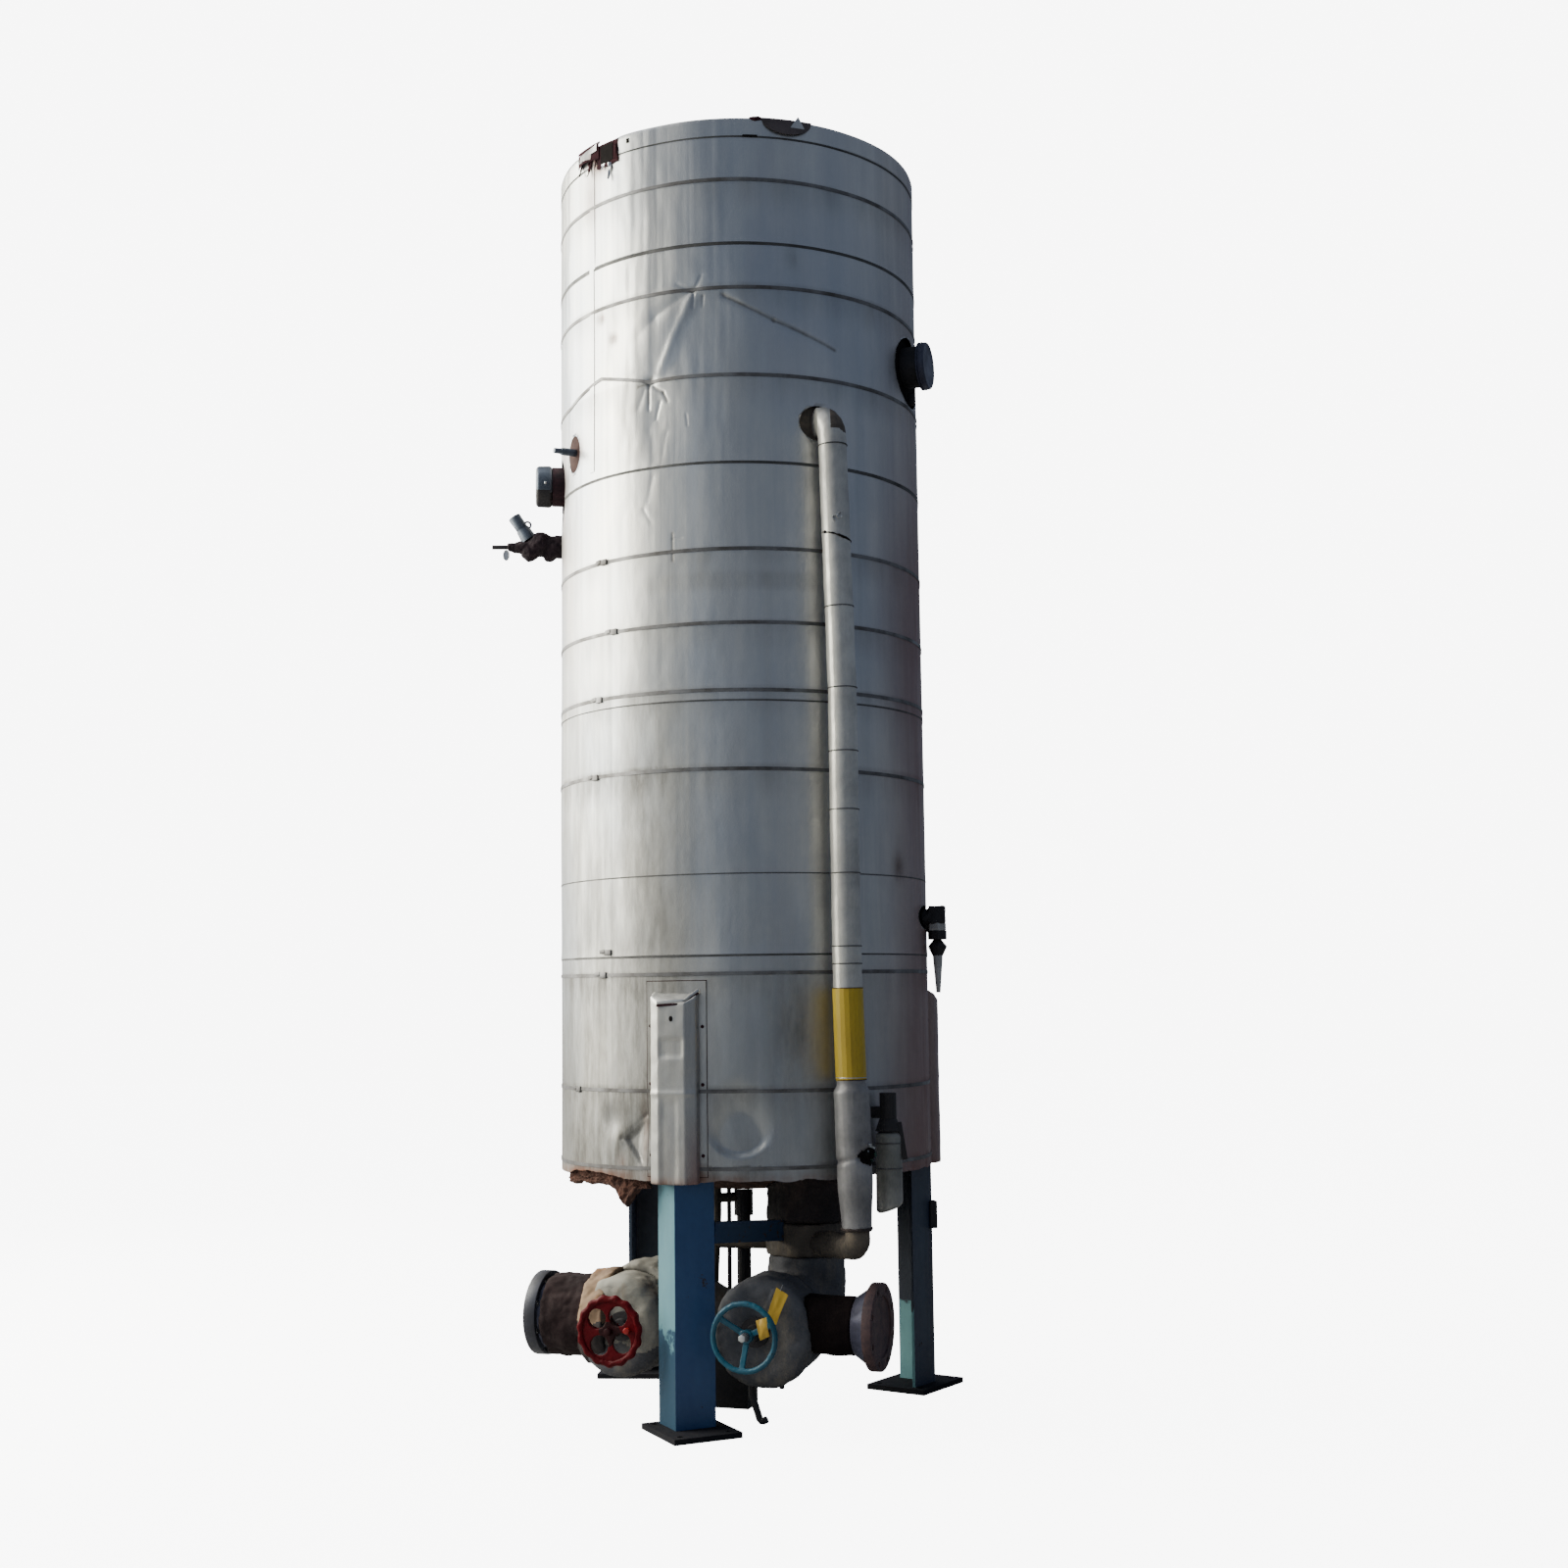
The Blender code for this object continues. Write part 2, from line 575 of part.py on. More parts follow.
def make_suction_lines(piping, looks, valves, bottom_cutter):
    # The outlet drops from the bottom head, and a lagged header under it feeds both valves from behind.
    x, y = OUTLET_AT
    low, high = COLLAR_SPAN
    points = smooth_path([point[:3] for point in HEADER_RUN])
    radii = [radius for radius, in smooth_path([point[3:] for point in HEADER_RUN])]
    header = pipe("suction_header", points, radii, looks["wrap"], piping, sides=24)
    foot = rod("outlet_foot", (x, y, HEADER_RUN[-2][2]), (x, y, low - GAP), OUTLET_RADIUS - 0.004,
               looks["wrap"], piping, sides=28)
    header = join(header, foot)
    header_room = pipe("header_room", longer(points, GAP), [radius + GAP for radius in radii], None, piping,
                       sides=24, collection=CUTTERS)
    for neck, room in valves:
        cut(header, room)
        cut(neck, header_room)
    drop = rod("outlet_pipe", (x, y, high + GAP), (x, y, BOTTOM_TANGENT - 0.04), OUTLET_RADIUS,
               looks["lagging"], piping, sides=28)
    cut(drop, bottom_cutter)
    rod("outlet_collar", (x, y, low), (x, y, high), COLLAR_RADIUS, looks["tape"], piping, sides=28)
    collar_room = rod("collar_room", (x, y, low - BEYOND), (x, y, high + BEYOND), COLLAR_RADIUS + GAP, None,
                      piping, sides=28, collection=CUTTERS)
    return header_room, collar_room


def make_vent(skid, looks, collar_room, jacket_pieces):
    # The vent leaves the jacket through a cut-out, runs down the front and turns in to the outlet collar.
    angle, height = VENT_ENTRY
    points = [Vector(point) for point in VENT_POINTS]
    run = (points[3] - points[2]).normalized()
    levels = (VENT_WIDE_SPAN[1] + 0.02, VENT_WIDE_SPAN[1], VENT_WIDE_SPAN[0])
    swell = [points[2] + run * ((points[2].z - level) / -run.z) for level in levels]
    entry = radial(angle, VESSEL_RADIUS - 0.015, height)
    path = rounded_path([entry] + points[:3], VENT_BEND) + swell + [points[3]]
    radii = [VENT_RADIUS] * (len(path) - 3) + [VENT_WIDE_RADIUS, VENT_WIDE_RADIUS, VENT_RADIUS]
    line = pipe("vent_pipe", path, radii, looks["lagging"], skid)
    inner = ring_outline(VESSEL_RADIUS / 2, VESSEL_RADIUS + GAP, height - 0.3, height + 0.3)
    cut(line, turned("vent_cutter", inner, None, skid, collection=CUTTERS))
    out = (points[0] - entry).normalized()
    opening = rod("vent_opening", entry - out * BEYOND, points[0], VENT_RADIUS + VENT_OPENING, None, skid,
                  sides=20, collection=CUTTERS)
    for piece in jacket_pieces:
        cut(piece, opening)
    back = turned_point(OUTLET_AT) + Vector((0, 0, VENT_FOOT[2] - VENT_RETURN_DROP))
    path = rounded_path([points[3] + run * GAP, Vector(VENT_FOOT), back], VENT_BEND / 2)
    lower = pipe("vent_return", path, VENT_RETURN_RADIUS, looks["tape"], skid)
    cut(lower, collar_room)
    marker(skid, looks, run)


def marker(skid, looks, run):
    # A printed band wrapped round the straight part of the vent line.
    low, high = MARKER_SPAN
    top = Vector(VENT_POINTS[2])
    start = top + run * ((top.z - high) / -run.z)
    length = (high - low) / -run.z
    outline = ring_outline(VENT_RADIUS + GAP * 2, VENT_RADIUS + GAP * 2 + SLEEVE, 0.0, length)
    sleeve = turned("vent_marker", outline, looks["marker"], skid, steps=20)
    aim(sleeve, start, run)


def turned_point(at):
    turn = FRONT_LEG_ANGLE + pi / 2
    x, y = at
    return Vector((x * cos(turn) - y * sin(turn), x * sin(turn) + y * cos(turn), 0))


def nozzle(name, spec, surface, skid, jacket_pieces, sides=20):
    # A stub welded to the vessel, in an oversize cut-out of the jacket and insulation.
    start = radial(spec["angle"], VESSEL_RADIUS - 0.01, spec["height"])
    deep = radial(spec["angle"], VESSEL_RADIUS - BEYOND, spec["height"])
    end = radial(spec["angle"], spec["tip"], spec["height"])
    stub = rod(f"nozzle_{name}", start, end, spec["radius"], surface, skid, sides=sides)
    inner = ring_outline(VESSEL_RADIUS / 2, VESSEL_RADIUS + GAP, spec["height"] - 0.3, spec["height"] + 0.3)
    cut(stub, turned(f"nozzle_{name}_cutter", inner, None, skid, collection=CUTTERS))
    hole = rod(f"nozzle_{name}_opening", deep, end + (end - deep), spec["radius"] + spec["room"], None, skid,
               sides=16, collection=CUTTERS)
    for piece in jacket_pieces:
        cut(piece, hole)
    return stub


def beyond(spec, reach):
    return radial(spec["angle"], spec["tip"] + reach, spec["height"])


def make_nozzles(skid, looks, insulation, courses):
    nozzle("right_upper", RIGHT_UPPER, looks["casting"], skid, (insulation, courses[3]))
    rod("cap_right_upper", beyond(RIGHT_UPPER, GAP), beyond(RIGHT_UPPER, CAP_THICKNESS), CAP_RADIUS,
        looks["steel"], skid)
    nozzle("left_stub", LEFT_STUB, looks["rust"], skid, (insulation, courses[2], courses[3]))
    nozzle("left_rod", LEFT_ROD, looks["rust"], skid, (insulation, courses[3]), sides=12)
    nozzle("left_valve", LEFT_VALVE, looks["casting"], skid, (insulation, courses[2]))
    nozzle("right_lower", RIGHT_LOWER, looks["casting"], skid, (insulation, courses[1]))
    side_valve(skid, looks)
    level_valve(skid, looks)


def side_valve_outline(extra):
    # Round body of the small valve, from its outer end to the nozzle.
    ends = [(0.0, SIDE_VALVE_LENGTH + extra), (0.026 + extra, SIDE_VALVE_LENGTH + extra)]
    sides = [(0.036, 0.080), (0.050, 0.060), (0.050, 0.030), (0.036, 0.012)]
    return ends + [(r + extra, z) for r, z in sides] + [(0.036 + extra, -extra), (0.0, -extra)]


def side_valve(skid, looks):
    # The small valve high on the left: round body, bonnet leaning up and out, and its stem.
    tip = beyond(LEFT_VALVE, GAP)
    out = radial(LEFT_VALVE["angle"], 1.0, 0)
    body = turned("side_valve_body", side_valve_outline(0.0), looks["casting"], skid, steps=20, closed=False)
    aim(body, tip, out)
    rod("side_valve_stem", tip + out * (SIDE_VALVE_LENGTH + GAP), tip + out * SIDE_STEM_REACH, 0.009,
        looks["casting"], skid, sides=12)
    lean = (out * SIDE_BONNET_LEAN + Vector((0, 0, 1))).normalized()
    base = tip + out * SIDE_VALVE_LENGTH / 2
    bonnet = rod("side_valve_bonnet", base + lean * SIDE_BONNET[0], base + lean * SIDE_BONNET[1], 0.024,
                 looks["steel"], skid, sides=16)
    room = turned("side_valve_room", side_valve_outline(GAP), None, skid, steps=20, closed=False,
                  collection=CUTTERS)
    aim(room, tip, out)
    cut(bonnet, room)


def level_valve(skid, looks):
    # The fittings low on the right: a black valve and a taped tail below it.
    tip = beyond(RIGHT_LOWER, GAP)
    out = radial(RIGHT_LOWER["angle"], 1.0, 0)
    size = (0.048, 0.060, 0.110)
    body = box("level_valve_body", tip + out * size[0] / 2, size, looks["casting"], skid)
    body.rotation_euler = (0, 0, RIGHT_LOWER["angle"])
    tail = [(0.0, 0.0), (0.012, 0.0), (0.020, -0.060), (0.014, -0.210), (0.0, -0.210)]
    made = turned("level_valve_tail", tail, looks["tape"], skid, steps=16, closed=False)
    made.location = tip + out * size[0] / 2 - Vector((0, 0, size[2] / 2 + GAP))


def make_level_pot(skid, looks):
    # The lagged float bottle beside the vent line, carried by a bracket on the jacket.
    axis = radial(BOTTLE_ANGLE, BOTTLE_AXIS_RADIUS, 0)
    low, high = BOTTLE_SPAN
    outline = [(0.0, high), (BOTTLE_NECK_RADIUS, high), (BOTTLE_RADIUS - 0.002, high - 0.035),
               (BOTTLE_RADIUS, low + 0.035), (BOTTLE_RADIUS - 0.016, low + 0.005), (0.0, low)]
    pot = turned("level_pot", outline, looks["lagging"], skid, steps=20, closed=False)
    pot.location = axis
    neck = rod("level_pot_neck", axis + Vector((0, 0, high + GAP)), axis + Vector((0, 0, BOTTLE_NECK_TOP)),
               BOTTLE_NECK_RADIUS, looks["casting"], skid, sides=16)
    bracket = box("level_pot_bracket", radial(BOTTLE_ANGLE, 0.742, 1.095), (0.080, 0.044, 0.040),
                  looks["casting"], skid)
    bracket.rotation_euler = (0, 0, BOTTLE_ANGLE)
    wall = turned("bracket_cutter", ring_outline(0.5, JACKET_RADIUS + GAP, 0.95, 1.3), None, skid,
                  collection=CUTTERS)
    cut(bracket, wall)
    return join(neck, settle(bracket))


def make_small_lines(piping, looks, bottom_cutter, header_room):
    # Drain, sample and balance lines drop from the bottom head onto the header. The oil box hangs under it.
    x, y = DRAIN_AT
    drain = rod("drain_line", (x, y, HEADER_RUN[4][2]), (x, y, 1.0), DRAIN_RADIUS, looks["casting"], piping,
                sides=16)
    radius, low, high = DRAIN_VALVE
    drain = join(drain, rod("drain_valve", (x, y, low), (x, y, high), radius, looks["casting"], piping, sides=16))
    balance = pipe("balance_line", [Vector(point) for point in BALANCE_RUN], SMALL_RADIUS, looks["casting"],
                   piping, sides=12)
    tie = rod("balance_tie", (*BALANCE_RUN[1][:2], TIE_HEIGHT), (*OUTLET_AT, TIE_HEIGHT), SMALL_RADIUS,
              looks["casting"], piping, sides=12)
    drain_room = rod("drain_room", (x, y, 0.2), (x, y, 1.0), radius + GAP, None, piping, sides=16,
                     collection=CUTTERS)
    branch = rod("balance_branch", (*BALANCE_RUN[1][:2], BRANCH_HEIGHT), (x, y, BRANCH_HEIGHT), SMALL_RADIUS,
                 looks["casting"], piping, sides=12)
    balance = join(join(balance, tie), branch)
    cut(balance, drain_room)
    x, y = SAMPLE_AT
    sample = rod("sample_line", (x, y, HEADER_RUN[4][2]), (x, y, 1.0), SAMPLE_RADIUS, looks["casting"], piping,
                 sides=12)
    for line in (drain, balance, sample):
        cut(line, bottom_cutter)
        cut(line, header_room)
    low, high = Vector(OIL_BOX[0]), Vector(OIL_BOX[1])
    oil_box = box("oil_box", (low + high) / 2, high - low, looks["casting"], piping)
    cut(oil_box, header_room)
    return balance


def make_supports(piping, looks, room, outlet_room):
    # A channel from the front leg carries the outlet, and a bent foot stands under the right valve.
    start, end = Vector(BEAM_START), Vector(BEAM_END)
    run = end - start
    beam = box("support_beam", (start + end) / 2, (run.length, *BEAM_SECTION), looks["leg"], piping)
    beam.rotation_euler = (0, -atan2(run.z, hypot(run.x, run.y)), atan2(run.y, run.x))
    cut(beam, outlet_room)
    cut(beam, bpy.data.objects["slot_front"])
    foot = pipe("valve_foot", rounded_path(FOOT_RUN, 0.012, 2), FOOT_RADIUS, looks["casting"], piping, sides=10)
    cut(foot, room)


def center_footprint(skid):
    # Moves the whole assembly so that the middle of its bounding box is over the origin.
    bpy.context.view_layer.update()
    graph = bpy.context.evaluated_depsgraph_get()
    low, high = Vector((1e9, 1e9, 1e9)), Vector((-1e9, -1e9, -1e9))
    for item in PARTS.objects:
        if item.type != "MESH":
            continue
        shape = item.evaluated_get(graph)
        for vertex in shape.data.vertices:
            point = shape.matrix_world @ vertex.co
            low = Vector(map(min, low, point))
            high = Vector(map(max, high, point))
    middle = (low + high) / 2
    skid.location = (-middle.x, -middle.y, 0)


def main():
    clear_scene()
    looks = {
        "sheet": material("jacket_sheet", (0.50, 0.50, 0.49), 0.42, 0.85),
        "wool": material("insulation_wool", (0.33, 0.22, 0.13), 0.95, 0.0),
        "steel": material("bare_steel", (0.25, 0.28, 0.33), 0.5, 0.7),
        "leg": material("leg_paint", (0.03, 0.12, 0.26), 0.5, 0.0),
        "plate": material("plate_steel", (0.05, 0.05, 0.06), 0.7, 0.3),
        "wrap": material("valve_wrap", (0.36, 0.35, 0.33), 0.8, 0.0),
        "lagging": material("pipe_lagging", (0.42, 0.41, 0.40), 0.6, 0.3),
        "tape": material("lagging_tape", (0.40, 0.34, 0.26), 0.7, 0.0),
        "casting": material("dark_casting", (0.03, 0.03, 0.035), 0.6, 0.3),
        "flange": material("flange_steel", (0.16, 0.12, 0.12), 0.6, 0.4),
        "rust": material("rusty_pipe", (0.14, 0.06, 0.04), 0.85, 0.1),
        "marker": material("marker_yellow", (0.85, 0.58, 0.03), 0.5, 0.0),
        "wheel_right": material("wheel_blue", (0.02, 0.16, 0.26), 0.4, 0.0),
        "wheel_left": material("wheel_red", (0.32, 0.015, 0.02), 0.4, 0.0),
    }
    looks["neck_right"] = looks["casting"]
    looks["neck_left"] = looks["wrap"]
    skid = empty("skid")
    piping = empty("piping", skid, turn=FRONT_LEG_ANGLE + pi / 2)
    make_vessel(skid, looks["steel"], looks["wool"])
    insulation, *courses = make_jacket(skid, looks["sheet"], looks["wool"])
    make_legs(skid, looks["leg"], looks["plate"], looks["sheet"], (insulation, courses[0]))
    bottom = dished(VESSEL_RADIUS, VESSEL_RADIUS / 2 + INSULATION + GAP, BOTTOM_TANGENT - HEAD_LAP, -1)
    bottom_cutter = turned("bottom_cutter", [(0.0, 2.0), (VESSEL_RADIUS, 2.0)] + bottom, None, skid,
                           closed=False, collection=CUTTERS)
    valves = [make_valve(side, piping, looks) for side in ("right", "left")]
    header_room, collar_room = make_suction_lines(piping, looks, valves, bottom_cutter)
    make_vent(skid, looks, collar_room, (insulation, courses[3]))
    make_nozzles(skid, looks, insulation, courses)
    make_level_pot(skid, looks)
    balance = make_small_lines(piping, looks, bottom_cutter, header_room)
    cut(balance, collar_room)
    outlet_room = rod("outlet_room", (*OUTLET_AT, 0.60), (*OUTLET_AT, 0.80), OUTLET_RADIUS + GAP, None, piping,
                      sides=28, collection=CUTTERS)
    make_supports(piping, looks, valves[0][1], outlet_room)
    cut(bpy.data.objects["support_beam"], collar_room)
    center_footprint(skid)


main()
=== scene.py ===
# Ammonia recirculator, dressed. Metres, Z up. The front leg and the vent line face the camera, towards -Y.

from math import atan2, cos, degrees, exp, hypot, pi, radians, sin

import bmesh
import bpy
from mathutils import Matrix, Vector, noise


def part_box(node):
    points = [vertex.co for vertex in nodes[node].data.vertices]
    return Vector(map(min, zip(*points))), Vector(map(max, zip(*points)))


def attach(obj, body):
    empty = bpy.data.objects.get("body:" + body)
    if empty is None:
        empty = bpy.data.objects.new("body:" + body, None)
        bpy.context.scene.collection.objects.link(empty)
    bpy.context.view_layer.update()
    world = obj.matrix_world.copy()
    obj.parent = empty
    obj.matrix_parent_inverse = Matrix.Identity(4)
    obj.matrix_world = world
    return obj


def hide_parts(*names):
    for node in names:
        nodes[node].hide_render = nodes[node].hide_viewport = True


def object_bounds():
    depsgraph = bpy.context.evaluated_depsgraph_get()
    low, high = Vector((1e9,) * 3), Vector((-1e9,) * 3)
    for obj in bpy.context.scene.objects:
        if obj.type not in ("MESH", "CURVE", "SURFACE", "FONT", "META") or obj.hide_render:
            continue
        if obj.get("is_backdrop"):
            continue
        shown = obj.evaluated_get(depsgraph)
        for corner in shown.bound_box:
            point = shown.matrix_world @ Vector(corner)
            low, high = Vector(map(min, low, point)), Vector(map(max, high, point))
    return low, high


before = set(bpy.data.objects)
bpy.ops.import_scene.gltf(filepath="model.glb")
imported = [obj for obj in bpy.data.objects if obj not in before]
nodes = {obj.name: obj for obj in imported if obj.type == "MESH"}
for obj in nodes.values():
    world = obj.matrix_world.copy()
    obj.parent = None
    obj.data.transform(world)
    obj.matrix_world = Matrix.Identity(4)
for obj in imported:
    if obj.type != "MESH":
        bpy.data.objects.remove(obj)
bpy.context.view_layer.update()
courseLow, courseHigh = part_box("jacket_course_3")
axisX = (courseLow.x + courseHigh.x) / 2       # the vessel's axis
axisY = (courseLow.y + courseHigh.y) / 2
pipingTurn = radians(-20.4)                    # the suction piping is turned with the front leg
print("frame is in")


def around(angle, radius, height):
    # a point by its angle round the vessel, in degrees
    return Vector((axisX + radius * cos(radians(angle)), axisY + radius * sin(radians(angle)), height))


def outward(angle):
    return Vector((cos(radians(angle)), sin(radians(angle)), 0))


def angleOf(point):
    return degrees(atan2(point.y - axisY, point.x - axisX))


def reachOf(point):
    return hypot(point.x - axisX, point.y - axisY)


def inPiping(x, y, z):
    # a point in the suction piping's own directions
    c, s = cos(pipingTurn), sin(pipingTurn)
    return Vector((axisX + x * c - y * s, axisY + x * s + y * c, z))


alongPiping = inPiping(1, 0, 0) - inPiping(0, 0, 0)


# camera, floor and light: plain studio, bright from the left as in the photograph
view = {"lens": 44.8, "place": (0.0, -7.657, 1.515), "pitch": 6.20, "yaw": 1.21, "roll": -0.72}


def setCamera():
    p, w, r = (radians(view[key]) for key in ("pitch", "yaw", "roll"))
    ahead = Vector((sin(w) * cos(p), cos(w) * cos(p), sin(p)))
    side = Vector((cos(w), -sin(w), 0))
    up = side.cross(ahead)
    pose = Matrix((side * cos(r) + up * sin(r), up * cos(r) - side * sin(r), -ahead)).transposed().to_4x4()
    x, y, z = view["place"]
    pose.translation = Vector((axisX + x, axisY + y, z))
    camera = bpy.data.cameras.new("camera")
    camera.lens = view["lens"]
    camera.clip_end = 100
    made = bpy.data.objects.new("camera", camera)
    made.matrix_world = pose
    bpy.context.scene.collection.objects.link(made)
    bpy.context.scene.camera = made


# each lamp: angle, distance, height, size, power, colour
studio = {"floor": (0.30, 0.30, 0.30), "glow": 8.0, "aim": 2.2, "backdrop": (1.0, 1.0, 1.0),
          "ambient": (0.185, 0.220, 0.285),
          "lamps": (("key left", 172, 5.5, 4.3, (5.6, 5.6), 1450, (1.0, 0.967, 0.835)),
                    ("front fill", -122, 8.5, 3.6, (5.0, 5.0), 30, (0.85, 0.93, 1.0)),
                    ("front", -60, 8.5, 3.4, (5.0, 5.0), 5, (1.0, 0.97, 0.95)),
                    ("rear fill", 128, 7.0, 4.0, (5.0, 5.0), 150, (0.95, 0.97, 1.0)),
                    ("top", -165, 3.0, 8.5, (4.0, 4.0), 90, (1.0, 1.0, 1.0)))}


def setStudio():
    bpy.ops.mesh.primitive_plane_add(size=60, location=(axisX, axisY, 0))
    floor = bpy.context.active_object
    floor.name = "floor"
    paint, tree, shader, coords = newFinish("pale floor", 0.9)
    shader.inputs["Base Color"].default_value = (*studio["floor"], 1)
    shader.inputs["Emission Color"].default_value = (1, 1, 1, 1)
    direct = tree.nodes.new("ShaderNodeLightPath").outputs["Is Camera Ray"]
    wire(tree, between(tree, direct, 0.0, 1.0, 0.0, studio["glow"]), shader.inputs["Emission Strength"])
    floor.data.materials.append(paint)
    floor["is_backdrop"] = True
    world = bpy.data.worlds.new("studio")
    bpy.context.scene.world = world
    world.use_nodes = True
    tree = world.node_tree
    seen = tree.nodes["Background"]
    seen.inputs["Color"].default_value = (*studio["ambient"], 1)
    pale = tree.nodes.new("ShaderNodeBackground")
    pale.inputs["Color"].default_value = (*studio["backdrop"], 1)
    pale.inputs["Strength"].default_value = studio["glow"]
    which, mix = tree.nodes.new("ShaderNodeLightPath"), tree.nodes.new("ShaderNodeMixShader")
    tree.links.new(which.outputs["Is Camera Ray"], mix.inputs[0])
    tree.links.new(seen.outputs[0], mix.inputs[1])
    tree.links.new(pale.outputs[0], mix.inputs[2])
    tree.links.new(mix.outputs[0], tree.nodes["World Output"].inputs["Surface"])
    for name, angle, distance, height, size, power, color in studio["lamps"]:
        lamp = bpy.data.lights.new(name, "AREA")
        lamp.shape, lamp.size, lamp.size_y = "RECTANGLE", *size
        lamp.energy, lamp.color = power, color
        made = bpy.data.objects.new(name, lamp)
        made.location = around(angle, distance, height)
        made.rotation_euler = (around(0, 0, studio["aim"]) - made.location).to_track_quat("-Z", "Y").to_euler()
        bpy.context.scene.collection.objects.link(made)


# finishes
def newFinish(name, rough=0.6, metal=0.0):
    finish = bpy.data.materials.new(name)
    finish.use_nodes = True
    tree = finish.node_tree
    shader = tree.nodes["Principled BSDF"]
    shader.inputs["Roughness"].default_value = rough
    shader.inputs["Metallic"].default_value = metal
    coords = tree.nodes.new("ShaderNodeTexCoord").outputs["Object"]
    return finish, tree, shader, coords


def stretched(tree, vector, scale, shift=(0, 0, 0)):
    mapping = tree.nodes.new("ShaderNodeMapping")
    mapping.inputs["Scale"].default_value = scale
    mapping.inputs["Location"].default_value = shift
    tree.links.new(vector, mapping.inputs["Vector"])
    return mapping.outputs["Vector"]


def clouds(tree, vector, scale, detail=5.0, rough=0.55, distort=0.0):
    made = tree.nodes.new("ShaderNodeTexNoise")
    for key, value in (("Scale", scale), ("Detail", detail), ("Roughness", rough), ("Distortion", distort)):
        made.inputs[key].default_value = value
    tree.links.new(vector, made.inputs["Vector"])
    return made.outputs["Fac"]


def between(tree, value, low, high, start=0.0, end=1.0):
    # low..high becomes start..end, and stays there beyond
    made = tree.nodes.new("ShaderNodeMapRange")
    for key, number in (("From Min", low), ("From Max", high), ("To Min", start), ("To Max", end)):
        made.inputs[key].default_value = number
    tree.links.new(value, made.inputs["Value"])
    return made.outputs["Result"]


def reckon(tree, kind, first, second):
    made = tree.nodes.new("ShaderNodeMath")
    made.operation = kind
    for socket, value in zip(made.inputs, (first, second)):
        if isinstance(value, (int, float)):
            socket.default_value = value
        else:
            tree.links.new(value, socket)
    return made.outputs[0]


def blended(tree, amount, first, second, kind="MIX"):
    # two colours, each a socket or three numbers
    made = tree.nodes.new("ShaderNodeMix")
    made.data_type, made.blend_type = "RGBA", kind
    for key, value in ((0, amount), (6, first), (7, second)):
        if isinstance(value, (int, float)):
            made.inputs[key].default_value = value
        elif isinstance(value, (tuple, list)):
            made.inputs[key].default_value = (*value, 1)
        else:
            tree.links.new(value, made.inputs[key])
    return made.outputs[2]


def painted(tree, name):
    # a value that the modelling code left on the piece's points
    made = tree.nodes.new("ShaderNodeAttribute")
    made.attribute_name = name
    return made.outputs["Fac"]


def embossed(tree, shader, height, distance, strength=1.0):
    bump = tree.nodes.new("ShaderNodeBump")
    bump.inputs["Distance"].default_value = distance
    bump.inputs["Strength"].default_value = strength
    tree.links.new(height, bump.inputs["Height"])
    if shader.inputs["Normal"].links:
        tree.links.new(shader.inputs["Normal"].links[0].from_socket, bump.inputs["Normal"])
    tree.links.new(bump.outputs["Normal"], shader.inputs["Normal"])


def wire(tree, value, socket):
    tree.links.new(value, socket)


sheetLook = {"light": (0.68, 0.67, 0.635), "dull": (0.46, 0.47, 0.48), "blue": (0.40, 0.44, 0.50),
             "grimeAndShade": (0.12, 0.115, 0.105),
             "rust": (0.16, 0.065, 0.035), "brown": (0.160, 0.060, 0.054), "rough": 0.33, "metal": 0.92}


